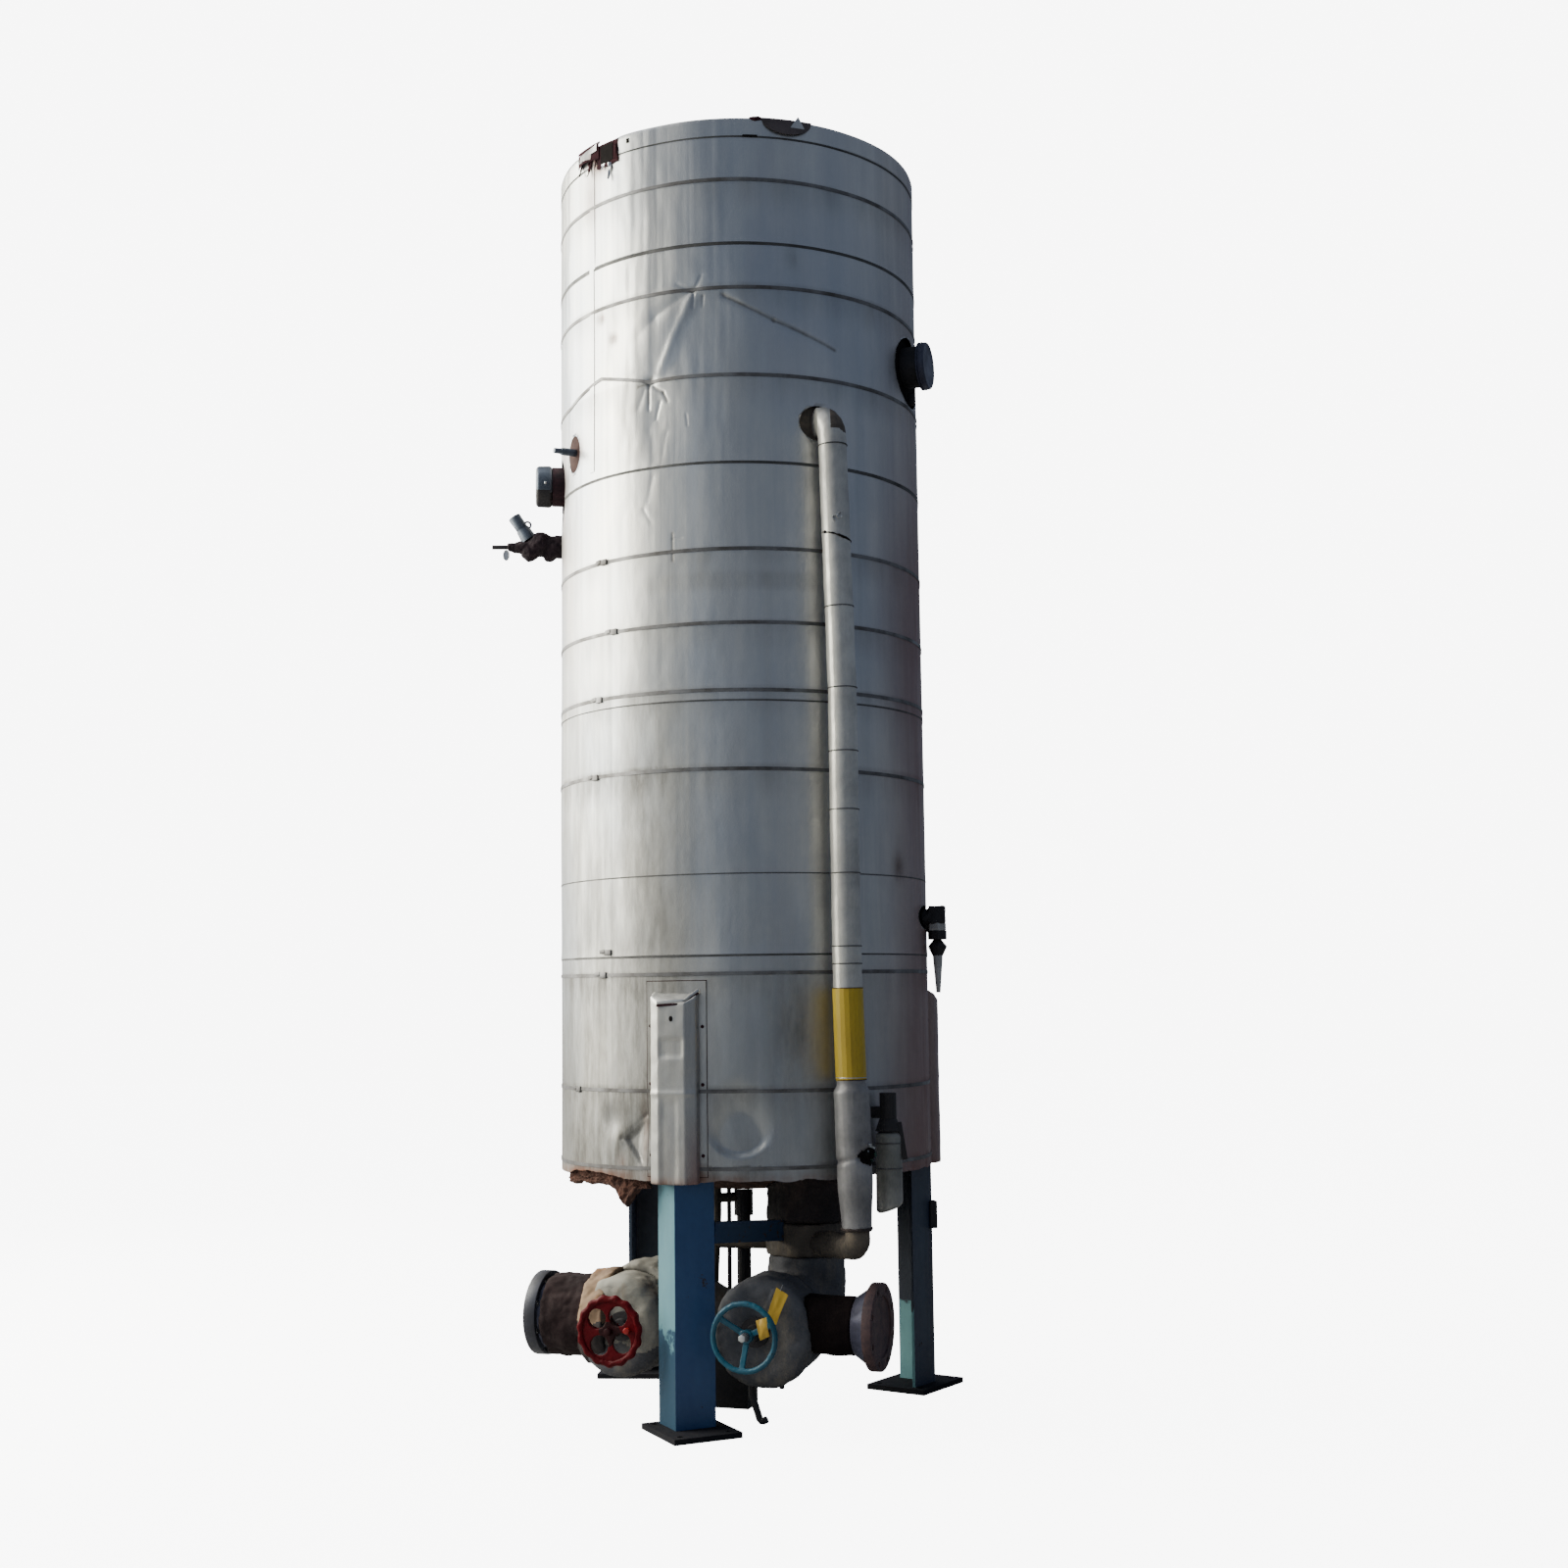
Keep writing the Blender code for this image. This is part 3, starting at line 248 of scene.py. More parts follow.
def sheetFinish():
    # weathered aluminium sheet: upright streaks, blotches, and grime with painted shade, rust, and stain with a painted
    # maroon reflection, all painted on the piece
    finish, tree, shader, coords = newFinish("weathered aluminium", sheetLook["rough"], sheetLook["metal"])
    streaks = clouds(tree, stretched(tree, coords, (9, 9, 0.5)), 1.0, 5)
    broad = clouds(tree, stretched(tree, coords, (1.6, 1.6, 0.8)), 1.0, 6)
    fine = clouds(tree, coords, 90, 4)
    base = blended(tree, between(tree, streaks, 0.35, 0.70, 0.0, 0.7), sheetLook["light"], sheetLook["dull"])
    base = blended(tree, between(tree, broad, 0.42, 0.68, 0.0, 0.8), base, sheetLook["blue"])
    speck = clouds(tree, stretched(tree, coords, (14, 14, 3)), 1.0, 8, 0.7)
    # grime and painted shade, from the layer painted on the piece
    grimeAndShade = reckon(tree, "MULTIPLY", painted(tree, "grimeAndShade"), between(tree, speck, 0.25, 0.6, 0.45, 1.0))
    base = blended(tree, grimeAndShade, base, sheetLook["grimeAndShade"])
    rust = reckon(tree, "MULTIPLY", painted(tree, "rust"), between(tree, speck, 0.3, 0.55, 0.3, 1.0))
    base = blended(tree, rust, base, sheetLook["rust"])
    # painted maroon reflection on the right edge, and real stains on the covers
    stainAndReflection = reckon(tree, "MULTIPLY", painted(tree, "stainAndReflection"), between(tree, broad, 0.25, 0.6, 0.6, 1.0))
    base = blended(tree, stainAndReflection, base, sheetLook["brown"])
    wire(tree, base, shader.inputs["Base Color"])
    threads = clouds(tree, stretched(tree, coords, (46, 46, 0.5)), 1.0, 3)
    rough = reckon(tree, "ADD", between(tree, threads, 0.3, 0.7, 0.27, 0.41), reckon(tree, "MULTIPLY", grimeAndShade, 0.32))
    wire(tree, reckon(tree, "ADD", rough, reckon(tree, "MULTIPLY", rust, 0.3)), shader.inputs["Roughness"])
    dull = reckon(tree, "ADD", reckon(tree, "MULTIPLY", rust, 0.7), reckon(tree, "MULTIPLY", stainAndReflection, 0.88))
    wire(tree, reckon(tree, "SUBTRACT", sheetLook["metal"], dull), shader.inputs["Metallic"])
    embossed(tree, shader, fine, 0.0006, 0.35)
    embossed(tree, shader, clouds(tree, stretched(tree, coords, (3, 3, 2)), 1.0, 3), 0.014, 0.55)
    waves = reckon(tree, "MULTIPLY", clouds(tree, stretched(tree, coords, (7, 7, 1.5)), 1.0, 2), painted(tree, "waves"))
    embossed(tree, shader, waves, 0.011)
    embossed(tree, shader, clouds(tree, stretched(tree, coords, (17, 17, 9)), 1.0, 2), 0.002, 0.5)
    return finish


def plainMetal(name, light, dark, rough, metal, grain=40, bump=0.0006):
    # a metal or painted surface with two tones and a fine grain
    finish, tree, shader, coords = newFinish(name, rough, metal)
    patches = clouds(tree, coords, grain / 6, 6, 0.6)
    wire(tree, blended(tree, between(tree, patches, 0.35, 0.65), light, dark), shader.inputs["Base Color"])
    wire(tree, between(tree, patches, 0.3, 0.7, rough - 0.08, rough + 0.14), shader.inputs["Roughness"])
    embossed(tree, shader, clouds(tree, coords, grain, 5, 0.6), bump, 0.5)
    return finish


def paintFinish(name, color, faded, chip, rough, chipping=0.66, shine=0.5):
    # enamel on steel: faded patches, and chips with rust in them
    finish, tree, shader, coords = newFinish(name, rough)
    shader.inputs["Specular IOR Level"].default_value = shine
    fading = clouds(tree, stretched(tree, coords, (5, 5, 2)), 1.0, 6, 0.6)
    chips = between(tree, clouds(tree, coords, 34, 8, 0.68), chipping, chipping + 0.02)
    flaking = between(tree, clouds(tree, coords, 7, 9, 0.72, 0.3), chipping - 0.03, chipping - 0.01)
    worn = reckon(tree, "MAXIMUM", chips, flaking)
    base = blended(tree, between(tree, fading, 0.4, 0.7), color, faded)
    wire(tree, blended(tree, worn, base, chip), shader.inputs["Base Color"])
    wire(tree, between(tree, worn, 0.0, 1.0, rough, 0.85), shader.inputs["Roughness"])
    embossed(tree, shader, worn, 0.0008, -0.6)
    embossed(tree, shader, clouds(tree, coords, 60, 4), 0.0006, 0.3)
    return finish


def wrapFinish(name, light, dark, stainAndReflection, weave=420, rough=0.85, shine=0.5):
    # stiff stained insulation wrap, with soft wrinkles
    finish, tree, shader, coords = newFinish(name, rough)
    shader.inputs["Specular IOR Level"].default_value = shine
    broad = clouds(tree, coords, 4.5, 7, 0.62, 0.4)
    spots = clouds(tree, stretched(tree, coords, (9, 9, 5)), 1.0, 8, 0.7)
    base = blended(tree, between(tree, broad, 0.36, 0.62), light, dark)
    base = blended(tree, between(tree, spots, 0.52, 0.70, 0.0, 0.8), base, stainAndReflection)
    wire(tree, base, shader.inputs["Base Color"])
    embossed(tree, shader, clouds(tree, coords, weave, 2), 0.0005, 0.4)
    embossed(tree, shader, clouds(tree, stretched(tree, coords, (14, 14, 30)), 1.0, 5, 0.6, 0.8), 0.006, 0.45)
    return finish


def rustFinish(name, light, dark, rough=0.9, shine=0.3):
    finish, tree, shader, coords = newFinish(name, rough)
    shader.inputs["Specular IOR Level"].default_value = shine
    scale = clouds(tree, coords, 22, 9, 0.7)
    wire(tree, blended(tree, between(tree, scale, 0.35, 0.65), light, dark), shader.inputs["Base Color"])
    embossed(tree, shader, clouds(tree, coords, 120, 8, 0.7), 0.0015, 0.7)
    return finish


sheet = sheetFinish()
strapMetal = plainMetal("strap steel", (0.190, 0.190, 0.195), (0.085, 0.080, 0.078), 0.50, 0.60, 60)
lightGrey = plainMetal("light grey coat", (0.46, 0.455, 0.45), (0.30, 0.295, 0.29), 0.6, 0.0, 60)
paleMetal = plainMetal("pale metal", (0.62, 0.63, 0.63), (0.40, 0.42, 0.43), 0.36, 0.85, 60)
darkSeam = plainMetal("dark seam", (0.10, 0.10, 0.10), (0.05, 0.05, 0.05), 0.6, 0.5, 60)
legBlue = paintFinish("leg paint", (0.014, 0.056, 0.165), (0.022, 0.080, 0.200), (0.03, 0.022, 0.020), 0.42, 0.71)
beamBlue = paintFinish("beam paint", (0.012, 0.036, 0.090), (0.022, 0.046, 0.095), (0.055, 0.032, 0.022), 0.5, 0.60)
# painted shade: a darker copy of the leg paint for the legs out of the light
legBlueInShade = paintFinish("leg paint in painted shade", (0.014, 0.020, 0.042), (0.030, 0.050, 0.085), (0.03, 0.018, 0.014),
                      0.50, 0.68)
plateBlack = rustFinish("base plate", (0.010, 0.011, 0.016), (0.018, 0.017, 0.020), 0.8, 0.08)
paleWrap = wrapFinish("pale wrap", (0.280, 0.272, 0.238), (0.215, 0.203, 0.175), (0.20, 0.150, 0.105))
greyWrap = wrapFinish("grey wrap", (0.105, 0.108, 0.122), (0.060, 0.061, 0.068), (0.17, 0.150, 0.125))
# brown tape, and also painted shadow on the vent's top elbow and in its recess
brownTapeAndShadow = wrapFinish("brown tape", (0.115, 0.094, 0.072), (0.045, 0.038, 0.033), (0.20, 0.155, 0.105), 300, 0.75)
darkWrap = wrapFinish("dark wrap", (0.030, 0.021, 0.021), (0.012, 0.009, 0.010), (0.060, 0.038, 0.032))
neckWrap = wrapFinish("neck wrap", (0.024, 0.014, 0.015), (0.008, 0.005, 0.006), (0.060, 0.042, 0.042), shine=0.12)
pipeWrap = wrapFinish("black wrap", (0.011, 0.007, 0.007), (0.005, 0.003, 0.004), (0.026, 0.016, 0.015), shine=0.08)
tanWrap = wrapFinish("tan wrap", (0.30, 0.20, 0.12), (0.15, 0.095, 0.060), (0.26, 0.105, 0.025))
# painted shade: near black for what is seen in holes, gaps and tears
shadeInHoles = rustFinish("shadeInHoles", (0.012, 0.010, 0.010), (0.006, 0.005, 0.005), 0.95, 0.08)
lagging = plainMetal("pipe jacketing", (0.56, 0.55, 0.51), (0.36, 0.355, 0.34), 0.42, 0.60, 30, 0.001)
potLagging = plainMetal("pot jacketing", (0.30, 0.30, 0.285), (0.17, 0.17, 0.155), 0.5, 0.45, 30, 0.001)
stainedLagging = plainMetal("stained jacketing", (0.30, 0.295, 0.30), (0.15, 0.145, 0.15), 0.5, 0.55, 36, 0.0015)
casting = plainMetal("black casting", (0.016, 0.015, 0.019), (0.028, 0.025, 0.027), 0.58, 0.3, 90, 0.0012)
bareSteel = plainMetal("bare steel", (0.130, 0.155, 0.195), (0.055, 0.065, 0.085), 0.46, 0.70, 60)
darkSteel = plainMetal("dark blue steel", (0.085, 0.088, 0.140), (0.035, 0.036, 0.058), 0.45, 0.4, 60)
flangeSteel = rustFinish("flange", (0.105, 0.062, 0.060), (0.045, 0.030, 0.036), 0.7)
rimSteel = plainMetal("flange rim", (0.040, 0.044, 0.062), (0.013, 0.012, 0.016), 0.50, 0.25, 50)
wool = rustFinish("brown insulation", (0.105, 0.048, 0.034), (0.035, 0.018, 0.015), 1.0)
valveBlack = rustFinish("black valve", (0.022, 0.013, 0.018), (0.010, 0.007, 0.010), 0.7, 0.12)
maroon = rustFinish("maroon pipe", (0.045, 0.012, 0.019), (0.018, 0.007, 0.011), 0.6)
# torn edges, and also the painted shadow under the front cover's hood
tornEdgeAndShadow = rustFinish("torn edge and shadow", (0.042, 0.012, 0.016), (0.018, 0.007, 0.010), 0.9, 0.1)
ovalRust = rustFinish("rusty oval", (0.062, 0.034, 0.030), (0.034, 0.018, 0.017), 0.9, 0.15)
mossGreen = plainMetal("green fleck", (0.040, 0.120, 0.080), (0.020, 0.060, 0.045), 0.7, 0.0, 60)
flapBrown = plainMetal("brown flap", (0.120, 0.095, 0.095), (0.060, 0.048, 0.050), 0.55, 0.3, 40)
tagYellow = paintFinish("tag", (0.50, 0.33, 0.012), (0.38, 0.22, 0.018), (0.10, 0.06, 0.03), 0.5, 0.70)
yellowBand = paintFinish("yellow band", (0.47, 0.330, 0.012), (0.36, 0.240, 0.015), (0.16, 0.11, 0.03), 0.52, 0.74)
wheelRed = paintFinish("red enamel", (0.085, 0.002, 0.005), (0.040, 0.002, 0.004), (0.02, 0.006, 0.006),
                       0.42, 0.66, 0.09)
# painted highlight: a far brighter red than the wheel's enamel, for the lit knob
knobRedHighlight = paintFinish("knob enamel with painted highlight", (0.340, 0.010, 0.006), (0.240, 0.008, 0.006), (0.10, 0.02, 0.01), 0.30, 0.72)
wheelHub = paintFinish("dark red enamel", (0.014, 0.002, 0.003), (0.028, 0.002, 0.004), (0.01, 0.005, 0.005),
                       0.5, 0.66, 0.15)
wheelBlue = paintFinish("blue enamel", (0.009, 0.050, 0.090), (0.016, 0.095, 0.145), (0.015, 0.018, 0.025),
                        0.36, 0.66, 0.3)
print("finishes are mixed")

setCamera()
setStudio()
print("camera and studio are set")


# modelling helpers
def pickOnly(piece):
    bpy.ops.object.select_all(action="DESELECT")
    piece.hide_set(False)
    piece.select_set(True)
    bpy.context.view_layer.objects.active = piece


def called(name):
    made = bpy.context.active_object
    made.name = made.data.name = name
    return made


def addTube(name, radius, depth, place, sides=32, ends="NGON", turn=(0, 0, 0)):
    bpy.ops.object.select_all(action="DESELECT")
    bpy.ops.mesh.primitive_cylinder_add(vertices=sides, radius=radius, depth=depth, end_fill_type=ends,
                                        location=place, rotation=turn)
    return called(name)


def addBlock(name, size, place, turn=(0, 0, 0)):
    bpy.ops.object.select_all(action="DESELECT")
    bpy.ops.mesh.primitive_cube_add(size=1, location=place, rotation=turn)
    made = called(name)
    made.scale = size
    bpy.ops.object.transform_apply(location=False, rotation=False, scale=True)
    return made


def addRing(name, big, small, place, turn=(0, 0, 0), sides=32, round=8):
    bpy.ops.object.select_all(action="DESELECT")
    bpy.ops.mesh.primitive_torus_add(major_radius=big, minor_radius=small, major_segments=sides,
                                     minor_segments=round, location=place, rotation=turn)
    return called(name)


def pointing(direction):
    return Vector(direction).to_track_quat("Z", "Y").to_euler()


def turned(angle):
    return (0, 0, radians(angle))


def addBar(name, wide, deep, start, end):
    # a block laid from start to end
    return addBlock(name, (wide, deep, (end - start).length), (start + end) / 2, pointing(end - start))


def settle(piece):
    # applies the modifiers and the place, so that the object sits at the origin
    pickOnly(piece)
    for modifier in list(piece.modifiers):
        bpy.ops.object.modifier_apply(modifier=modifier.name)
    bpy.ops.object.transform_apply(location=True, rotation=True, scale=True)
    return piece


def complete(piece, look, body="skid", stands=(), smooth=35):
    settle(piece)
    bpy.ops.object.shade_smooth_by_angle(angle=radians(smooth))
    piece.data.materials.clear()
    piece.data.materials.append(look)
    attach(piece, body)
    if stands:
        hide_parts(*stands)
    return piece


def rounded(piece, width, segments=2, angle=30):
    bevel = piece.modifiers.new("round", "BEVEL")
    bevel.width, bevel.segments, bevel.limit_method, bevel.angle_limit = width, segments, "ANGLE", radians(angle)
    return piece


def joined(pieces):
    pickOnly(pieces[0])
    for piece in pieces[1:]:
        piece.select_set(True)
    bpy.ops.object.join()
    return bpy.context.active_object


def copyOf(node, name):
    # a merged copy of a CAD node's mesh
    made = bpy.data.objects.new(name, nodes[node].data.copy())
    bpy.context.scene.collection.objects.link(made)
    pickOnly(made)
    bpy.ops.object.mode_set(mode="EDIT")
    bpy.ops.mesh.select_all(action="SELECT")
    bpy.ops.mesh.remove_doubles(threshold=0.00005)
    bpy.ops.object.mode_set(mode="OBJECT")
    return made


def carve(piece, cutter):
    carving = piece.modifiers.new("carve", "BOOLEAN")
    carving.operation, carving.solver, carving.object = "DIFFERENCE", "EXACT", cutter
    pickOnly(piece)
    bpy.ops.object.modifier_apply(modifier=carving.name)
    return piece


def discard(*pieces):
    for piece in pieces:
        bpy.data.objects.remove(piece, do_unlink=True)


def lumpy(piece, voxel, lump, scale, smooth=4, seed=0.0):
    # an even skin over the piece, softened, with lumps of the given height and size
    pickOnly(piece)
    remesh = piece.modifiers.new("skin", "REMESH")
    remesh.mode, remesh.voxel_size = "VOXEL", voxel
    bpy.ops.object.modifier_apply(modifier=remesh.name)
    soften = piece.modifiers.new("soften", "SMOOTH")
    soften.factor, soften.iterations = 0.5, smooth
    bpy.ops.object.modifier_apply(modifier=soften.name)
    shift = Vector((seed, seed * 2, -seed))
    mesh = piece.data
    pushes = [vertex.normal * lump * noise.fractal(vertex.co / scale + shift, 0.8, 2.0, 3) for vertex in mesh.vertices]
    for vertex, push in zip(mesh.vertices, pushes):
        vertex.co += push
    mesh.update()
    return piece


def addCone(name, first, second, start, end, sides=32):
    # a round from start to end, with its radius at each
    way = end - start
    bpy.ops.object.select_all(action="DESELECT")
    bpy.ops.mesh.primitive_cone_add(vertices=sides, radius1=first, radius2=second, depth=way.length,
                                    location=(start + end) / 2, rotation=pointing(way))
    return called(name)


def addBall(name, radius, place, stretch=(1, 1, 1), turn=(0, 0, 0)):
    bpy.ops.object.select_all(action="DESELECT")
    bpy.ops.mesh.primitive_uv_sphere_add(segments=24, ring_count=14, radius=radius, location=place, rotation=turn)
    made = called(name)
    made.scale = stretch
    return made


def merged(name, pieces):
    for piece in pieces:
        settle(piece)
    made = joined(pieces)
    made.name = made.data.name = name
    return made


def selectWhere(piece, kind, chosen):
    # opens the piece in edit mode with only the chosen verts, edges or faces selected
    bpy.ops.object.mode_set(mode="EDIT")
    bpy.context.tool_settings.mesh_select_mode = [kind == each for each in ("verts", "edges", "faces")]
    bpy.ops.mesh.select_all(action="DESELECT")
    shape = bmesh.from_edit_mesh(piece.data)
    for part in getattr(shape, kind):
        part.select_set(chosen(part))
    if kind == "verts":
        shape.select_flush_mode()
    bmesh.update_edit_mesh(piece.data)


def raggedBelow(level, rough, scale):
    # chooses the faces under a ragged line
    return lambda face: face.center.z < level + rough * noise.noise(face.center * scale)


def secondLook(piece, look, chosen):
    # the faces that are chosen take a second finish
    piece.data.materials.append(look)
    for face in piece.data.polygons:
        if chosen(face):
            face.material_index = 1


# the sheet jacket
# a degree is measured in metres round the sheet
jacket = {"radius": 0.711, "degree": 0.01241, "sheet": 0.0012, "around": 384, "row": 0.0135,
          "laps": (0.870, 1.680, 2.594, 3.472, 4.300, 4.742), "over": 0.014, "frayed": 0.93}
# angle, height, half-width, half-height in metres, depth
softDents = [(-121, 1.06, 0.09, 0.07, 0.010), (-116, 3.66, 0.10, 0.16, 0.010), (-131, 3.98, 0.07, 0.10, 0.006),
             (-96, 3.98, 0.16, 0.12, 0.007), (-70, 2.30, 0.20, 0.35, 0.003), (-140, 2.10, 0.20, 0.40, 0.003),
             (-60, 4.45, 0.20, 0.20, 0.003), (-40, 1.35, 0.15, 0.25, 0.004), (35, 2.9, 0.16, 0.2, 0.008),
             (95, 1.4, 0.14, 0.22, 0.010), (150, 3.9, 0.12, 0.16, 0.008), (120, 2.5, 0.2, 0.3, 0.004),
             (-137.1, 4.076, 0.018, 0.018, 0.005), (-131.8, 3.983, 0.016, 0.016, 0.004)]
# from (angle, height) to (angle, height), half-width, depth: sharp creases
creases = [((-104.2, 4.112), (-116.0, 4.027), 0.024, 0.006), ((-116.0, 4.027), (-122.1, 3.967), 0.034, 0.0025),
           ((-94.4, 4.083), (-79.3, 3.989), 0.008, 0.006), ((-79.3, 3.989), (-59.7, 3.901), 0.008, 0.005),
           ((-103.2, 4.112), (-101.0, 4.160), 0.008, 0.004), ((-104.0, 4.105), (-108.5, 4.138), 0.007, 0.003),
           ((-103.4, 4.095), (-103.8, 4.045), 0.004, 0.004), ((-100.6, 4.085), (-100.8, 4.050), 0.004, 0.003),
           ((-118.3, 3.770), (-118.4, 3.680), 0.006, 0.004), ((-116.6, 3.762), (-113.4, 3.735), 0.005, 0.004),
           ((-113.4, 3.735), (-112.0, 3.700), 0.005, 0.003), ((-119.8, 3.755), (-122.0, 3.690), 0.012, 0.002),
           ((-114.6, 3.700), (-116.0, 3.640), 0.006, 0.0025), ((-105.9, 3.640), (-105.6, 3.600), 0.004, 0.002),
           ((-118.3, 3.600), (-116.5, 3.480), 0.020, 0.0014), ((-112.5, 3.580), (-113.5, 3.500), 0.012, 0.0014),
           ((-117.0, 3.420), (-118.5, 3.330), 0.014, 0.0016), ((-120.0, 3.300), (-117.5, 3.250), 0.008, 0.0014),
           ((-120.1, 1.102), (-129.2, 1.013), 0.007, 0.004), ((-129.2, 1.013), (-123.2, 0.930), 0.007, 0.003),
           ((-110.5, 3.197), (-110.5, 3.098), 0.003, 0.002), ((-110.5, 3.180), (-107.5, 3.180), 0.003, 0.002),
           ((60, 3.2), (85, 3.0), 0.014, 0.007), ((130, 1.25), (150, 1.05), 0.014, 0.008)]
# creases that get a line of painted shade, with some dirt
darkLines = (((-94.4, 4.083), (-79.3, 3.989)), ((-79.3, 3.989), (-59.7, 3.901)), ((-118.3, 3.770), (-118.4, 3.700)),
             ((-116.6, 3.762), (-113.4, 3.735)), ((-113.4, 3.735), (-112.0, 3.700)), ((-122.0, 3.772), (-119.0, 3.776)),
             ((-110.5, 3.200), (-110.5, 3.098)))
# the hollow between the star and the knot: height and the angle where its sharp left edge runs
hollow = {"edge": ((3.775, -116.8), (3.800, -114.8), (3.866, -112.5), (3.950, -109.7), (4.034, -106.4),
                   (4.112, -104.0)),
          "deep": 0.0060, "wall": 0.055, "fade": 0.28, "ridge": 0.0028, "wide": 0.016}
# single forms in the sheet: angle, height, then sizes in metres and the depth
pressed = {"knot": (-117.6, 3.782, 0.020, 0.011), "bowl": (-92.0, 1.085, 0.135, 0.140, 0.017),
           "fold": (-129.2, 1.013, 0.016), "deepest": -0.0255}


def softly(value):
    value = min(1.0, max(0.0, value))
    return value * value * (3 - 2 * value)


def apart(first, second):
    return (first - second + 180) % 360 - 180


def roundNoise(angle, height, scale, along, shift=0.0):
    # noise that follows the round of the sheet
    turn = radians(angle)
    return noise.noise(Vector((cos(turn) * scale, sin(turn) * scale, height * along + shift)))


def toLine(angle, height, start, end):
    # distance in metres from a crease, and how far along it, from 0 to 1
    r = radians(jacket["radius"])
    ux, uz = apart(end[0], start[0]) * r, end[1] - start[1]
    px, pz = apart(angle, start[0]) * r, height - start[1]
    along = max(0.0, min(1.0, (px * ux + pz * uz) / (ux * ux + uz * uz)))
    return hypot(px - along * ux, pz - along * uz), along


def hollowDepth(angle, height):
    line = hollow["edge"]
    if not line[0][0] < height < line[-1][0] or not -120 < angle < -75:
        return 0.0
    for (low, first), (high, second) in zip(line, line[1:]):
        if height <= high:
            edge = first + (second - first) * (height - low) / (high - low)
            break
    into = apart(angle, edge) * jacket["degree"]
    ends = softly((height - line[0][0]) / 0.08) * softly((line[-1][0] - height) / 0.05)
    sunk = hollow["deep"] * softly(into / hollow["wall"]) * (1 - softly(into / hollow["fade"]))
    return (sunk - hollow["ridge"] * exp(-(into / hollow["wide"]) ** 2)) * ends


def sheetPush(angle, height):
    # how far the sheet stands out from its round, in metres
    out = 0.0020 * roundNoise(angle, height, 1.9, 1.1) + 0.0016 * roundNoise(angle, height, 5.0, 1.6, 7)
    for a, z, wide, tall, deep in softDents:
        u, v = apart(angle, a) * jacket["degree"] / wide, (height - z) / tall
        if abs(u) < 2.6 and abs(v) < 2.6:
            out -= deep * exp(-u * u - v * v)
    for start, end, wide, deep in creases:
        if abs(height - start[1]) < 0.4 and abs(apart(angle, start[0])) < 50:
            off, along = toLine(angle, height, start, end)
            if off < wide * 2.4:
                out -= deep * (1 - 0.35 * along) * exp(-(off / wide) ** 1.4)
    out -= hollowDepth(angle, height)
    a, z, wide, deep = pressed["knot"]
    out -= deep * exp(-(hypot(apart(angle, a) * jacket["degree"], (height - z) * 1.3) / wide) ** 1.5)
    # the bowl beside the front leg's cover, sharp at its lower edge
    a, z, wide, tall, deep = pressed["bowl"]
    u, v = apart(angle, a) * jacket["degree"] / wide, (height - z) / tall
    away = hypot(u, min(v, 0) if v < 0 else v * 0.9)
    out -= deep * softly((1.0 - away) / (0.20 + 0.76 * softly((v + 0.70) / 1.1)))
    out -= 0.003 * softly((sin(radians(angle)) - 0.80) / 0.15)    # a little flatter at the rear
    # left of the cover the sheet is folded in along two arms that meet, and bulges beyond them
    a, z, deep = pressed["fold"]
    u, v = apart(angle, a) * jacket["degree"], height - z
    if -0.2 < u < 0.13 and abs(v) < 0.2:
        inside = min((0.788 * u - v) / 1.273, (v + 1.114 * u) / 1.497)    # within both arms
        out -= deep * softly(inside / 0.020) * (1 - softly((u - 0.065) / 0.050))
        out += 0.004 * exp(-((u + 0.012) / 0.026) ** 2 - (v / 0.040) ** 2)
        out -= 0.009 * exp(-((u + 0.052) / 0.040) ** 2 - ((v - 0.062) / 0.048) ** 2)
    return max(out, pressed["deepest"])


def sheetGrimeAndShade(angle, height):
    # grime and painted shade: darker under each strap, towards the bottom, in bands and in a few spots; painted shade,
    # with some dirt, along the creases, and painted shade on the right, the side away from the light
    fleck = 0.5 + 0.5 * roundNoise(angle, height, 9, 0.5)
    dirtAndShade = 0.10
    for line in straps["heights"]:
        below = line - height
        if -0.012 < below < 0.16:
            dirtAndShade += 0.30 * (1 - softly(below / 0.14)) * (0.15 + fleck)
    lit = softly((-98 - angle) / 20)            # the side towards the light is darker lower down
    dirtAndShade += (0.05 + 0.50 * lit) * softly((3.2 - height) / 1.1) + 0.12 * softly((1.85 - height) / 0.5)
    dirtAndShade += (0.30 + 0.25 * lit) * softly((1.14 - height) / 0.2) * fleck
    dirtAndShade += 0.45 * exp(-((angle + 75) / 7) ** 2 - ((height - 1.38) / 0.22) ** 2)
    band = 0.14 + 0.10 * softly((1.15 - height) / 0.15)
    dirtAndShade += band * exp(-(apart(angle, -113) / 11) ** 2) * softly((3.35 - height) / 0.35)
    # painted shade, with some dirt, along these creases
    for start, end in darkLines:
        if abs(height - start[1]) < 0.2 and abs(apart(angle, start[0])) < 30:
            dirtAndShade += 0.65 * exp(-(toLine(angle, height, start, end)[0] / 0.0055) ** 2)
    dirtAndShade += 0.22 * exp(-((height - 3.015) / 0.035) ** 4) * softly((angle + 128) / 12) * softly((-62 - angle) / 8)
    # painted shade on the right, the side away from the light
    dirtAndShade += 0.16 * softly((apart(angle, -45) + 10) / 50) * (1 - softly((apart(angle, -45) - 70) / 30))
    dirtAndShade += 0.30 * exp(-(apart(angle, -73.6) / 2.2) ** 2 - ((height - 4.235) / 0.045) ** 2)
    dirtAndShade += 0.75 * exp(-(apart(angle, -36) / 2.6) ** 2 - ((height - 1.985) / 0.05) ** 2)
    return max(0.0, min(0.95, dirtAndShade))


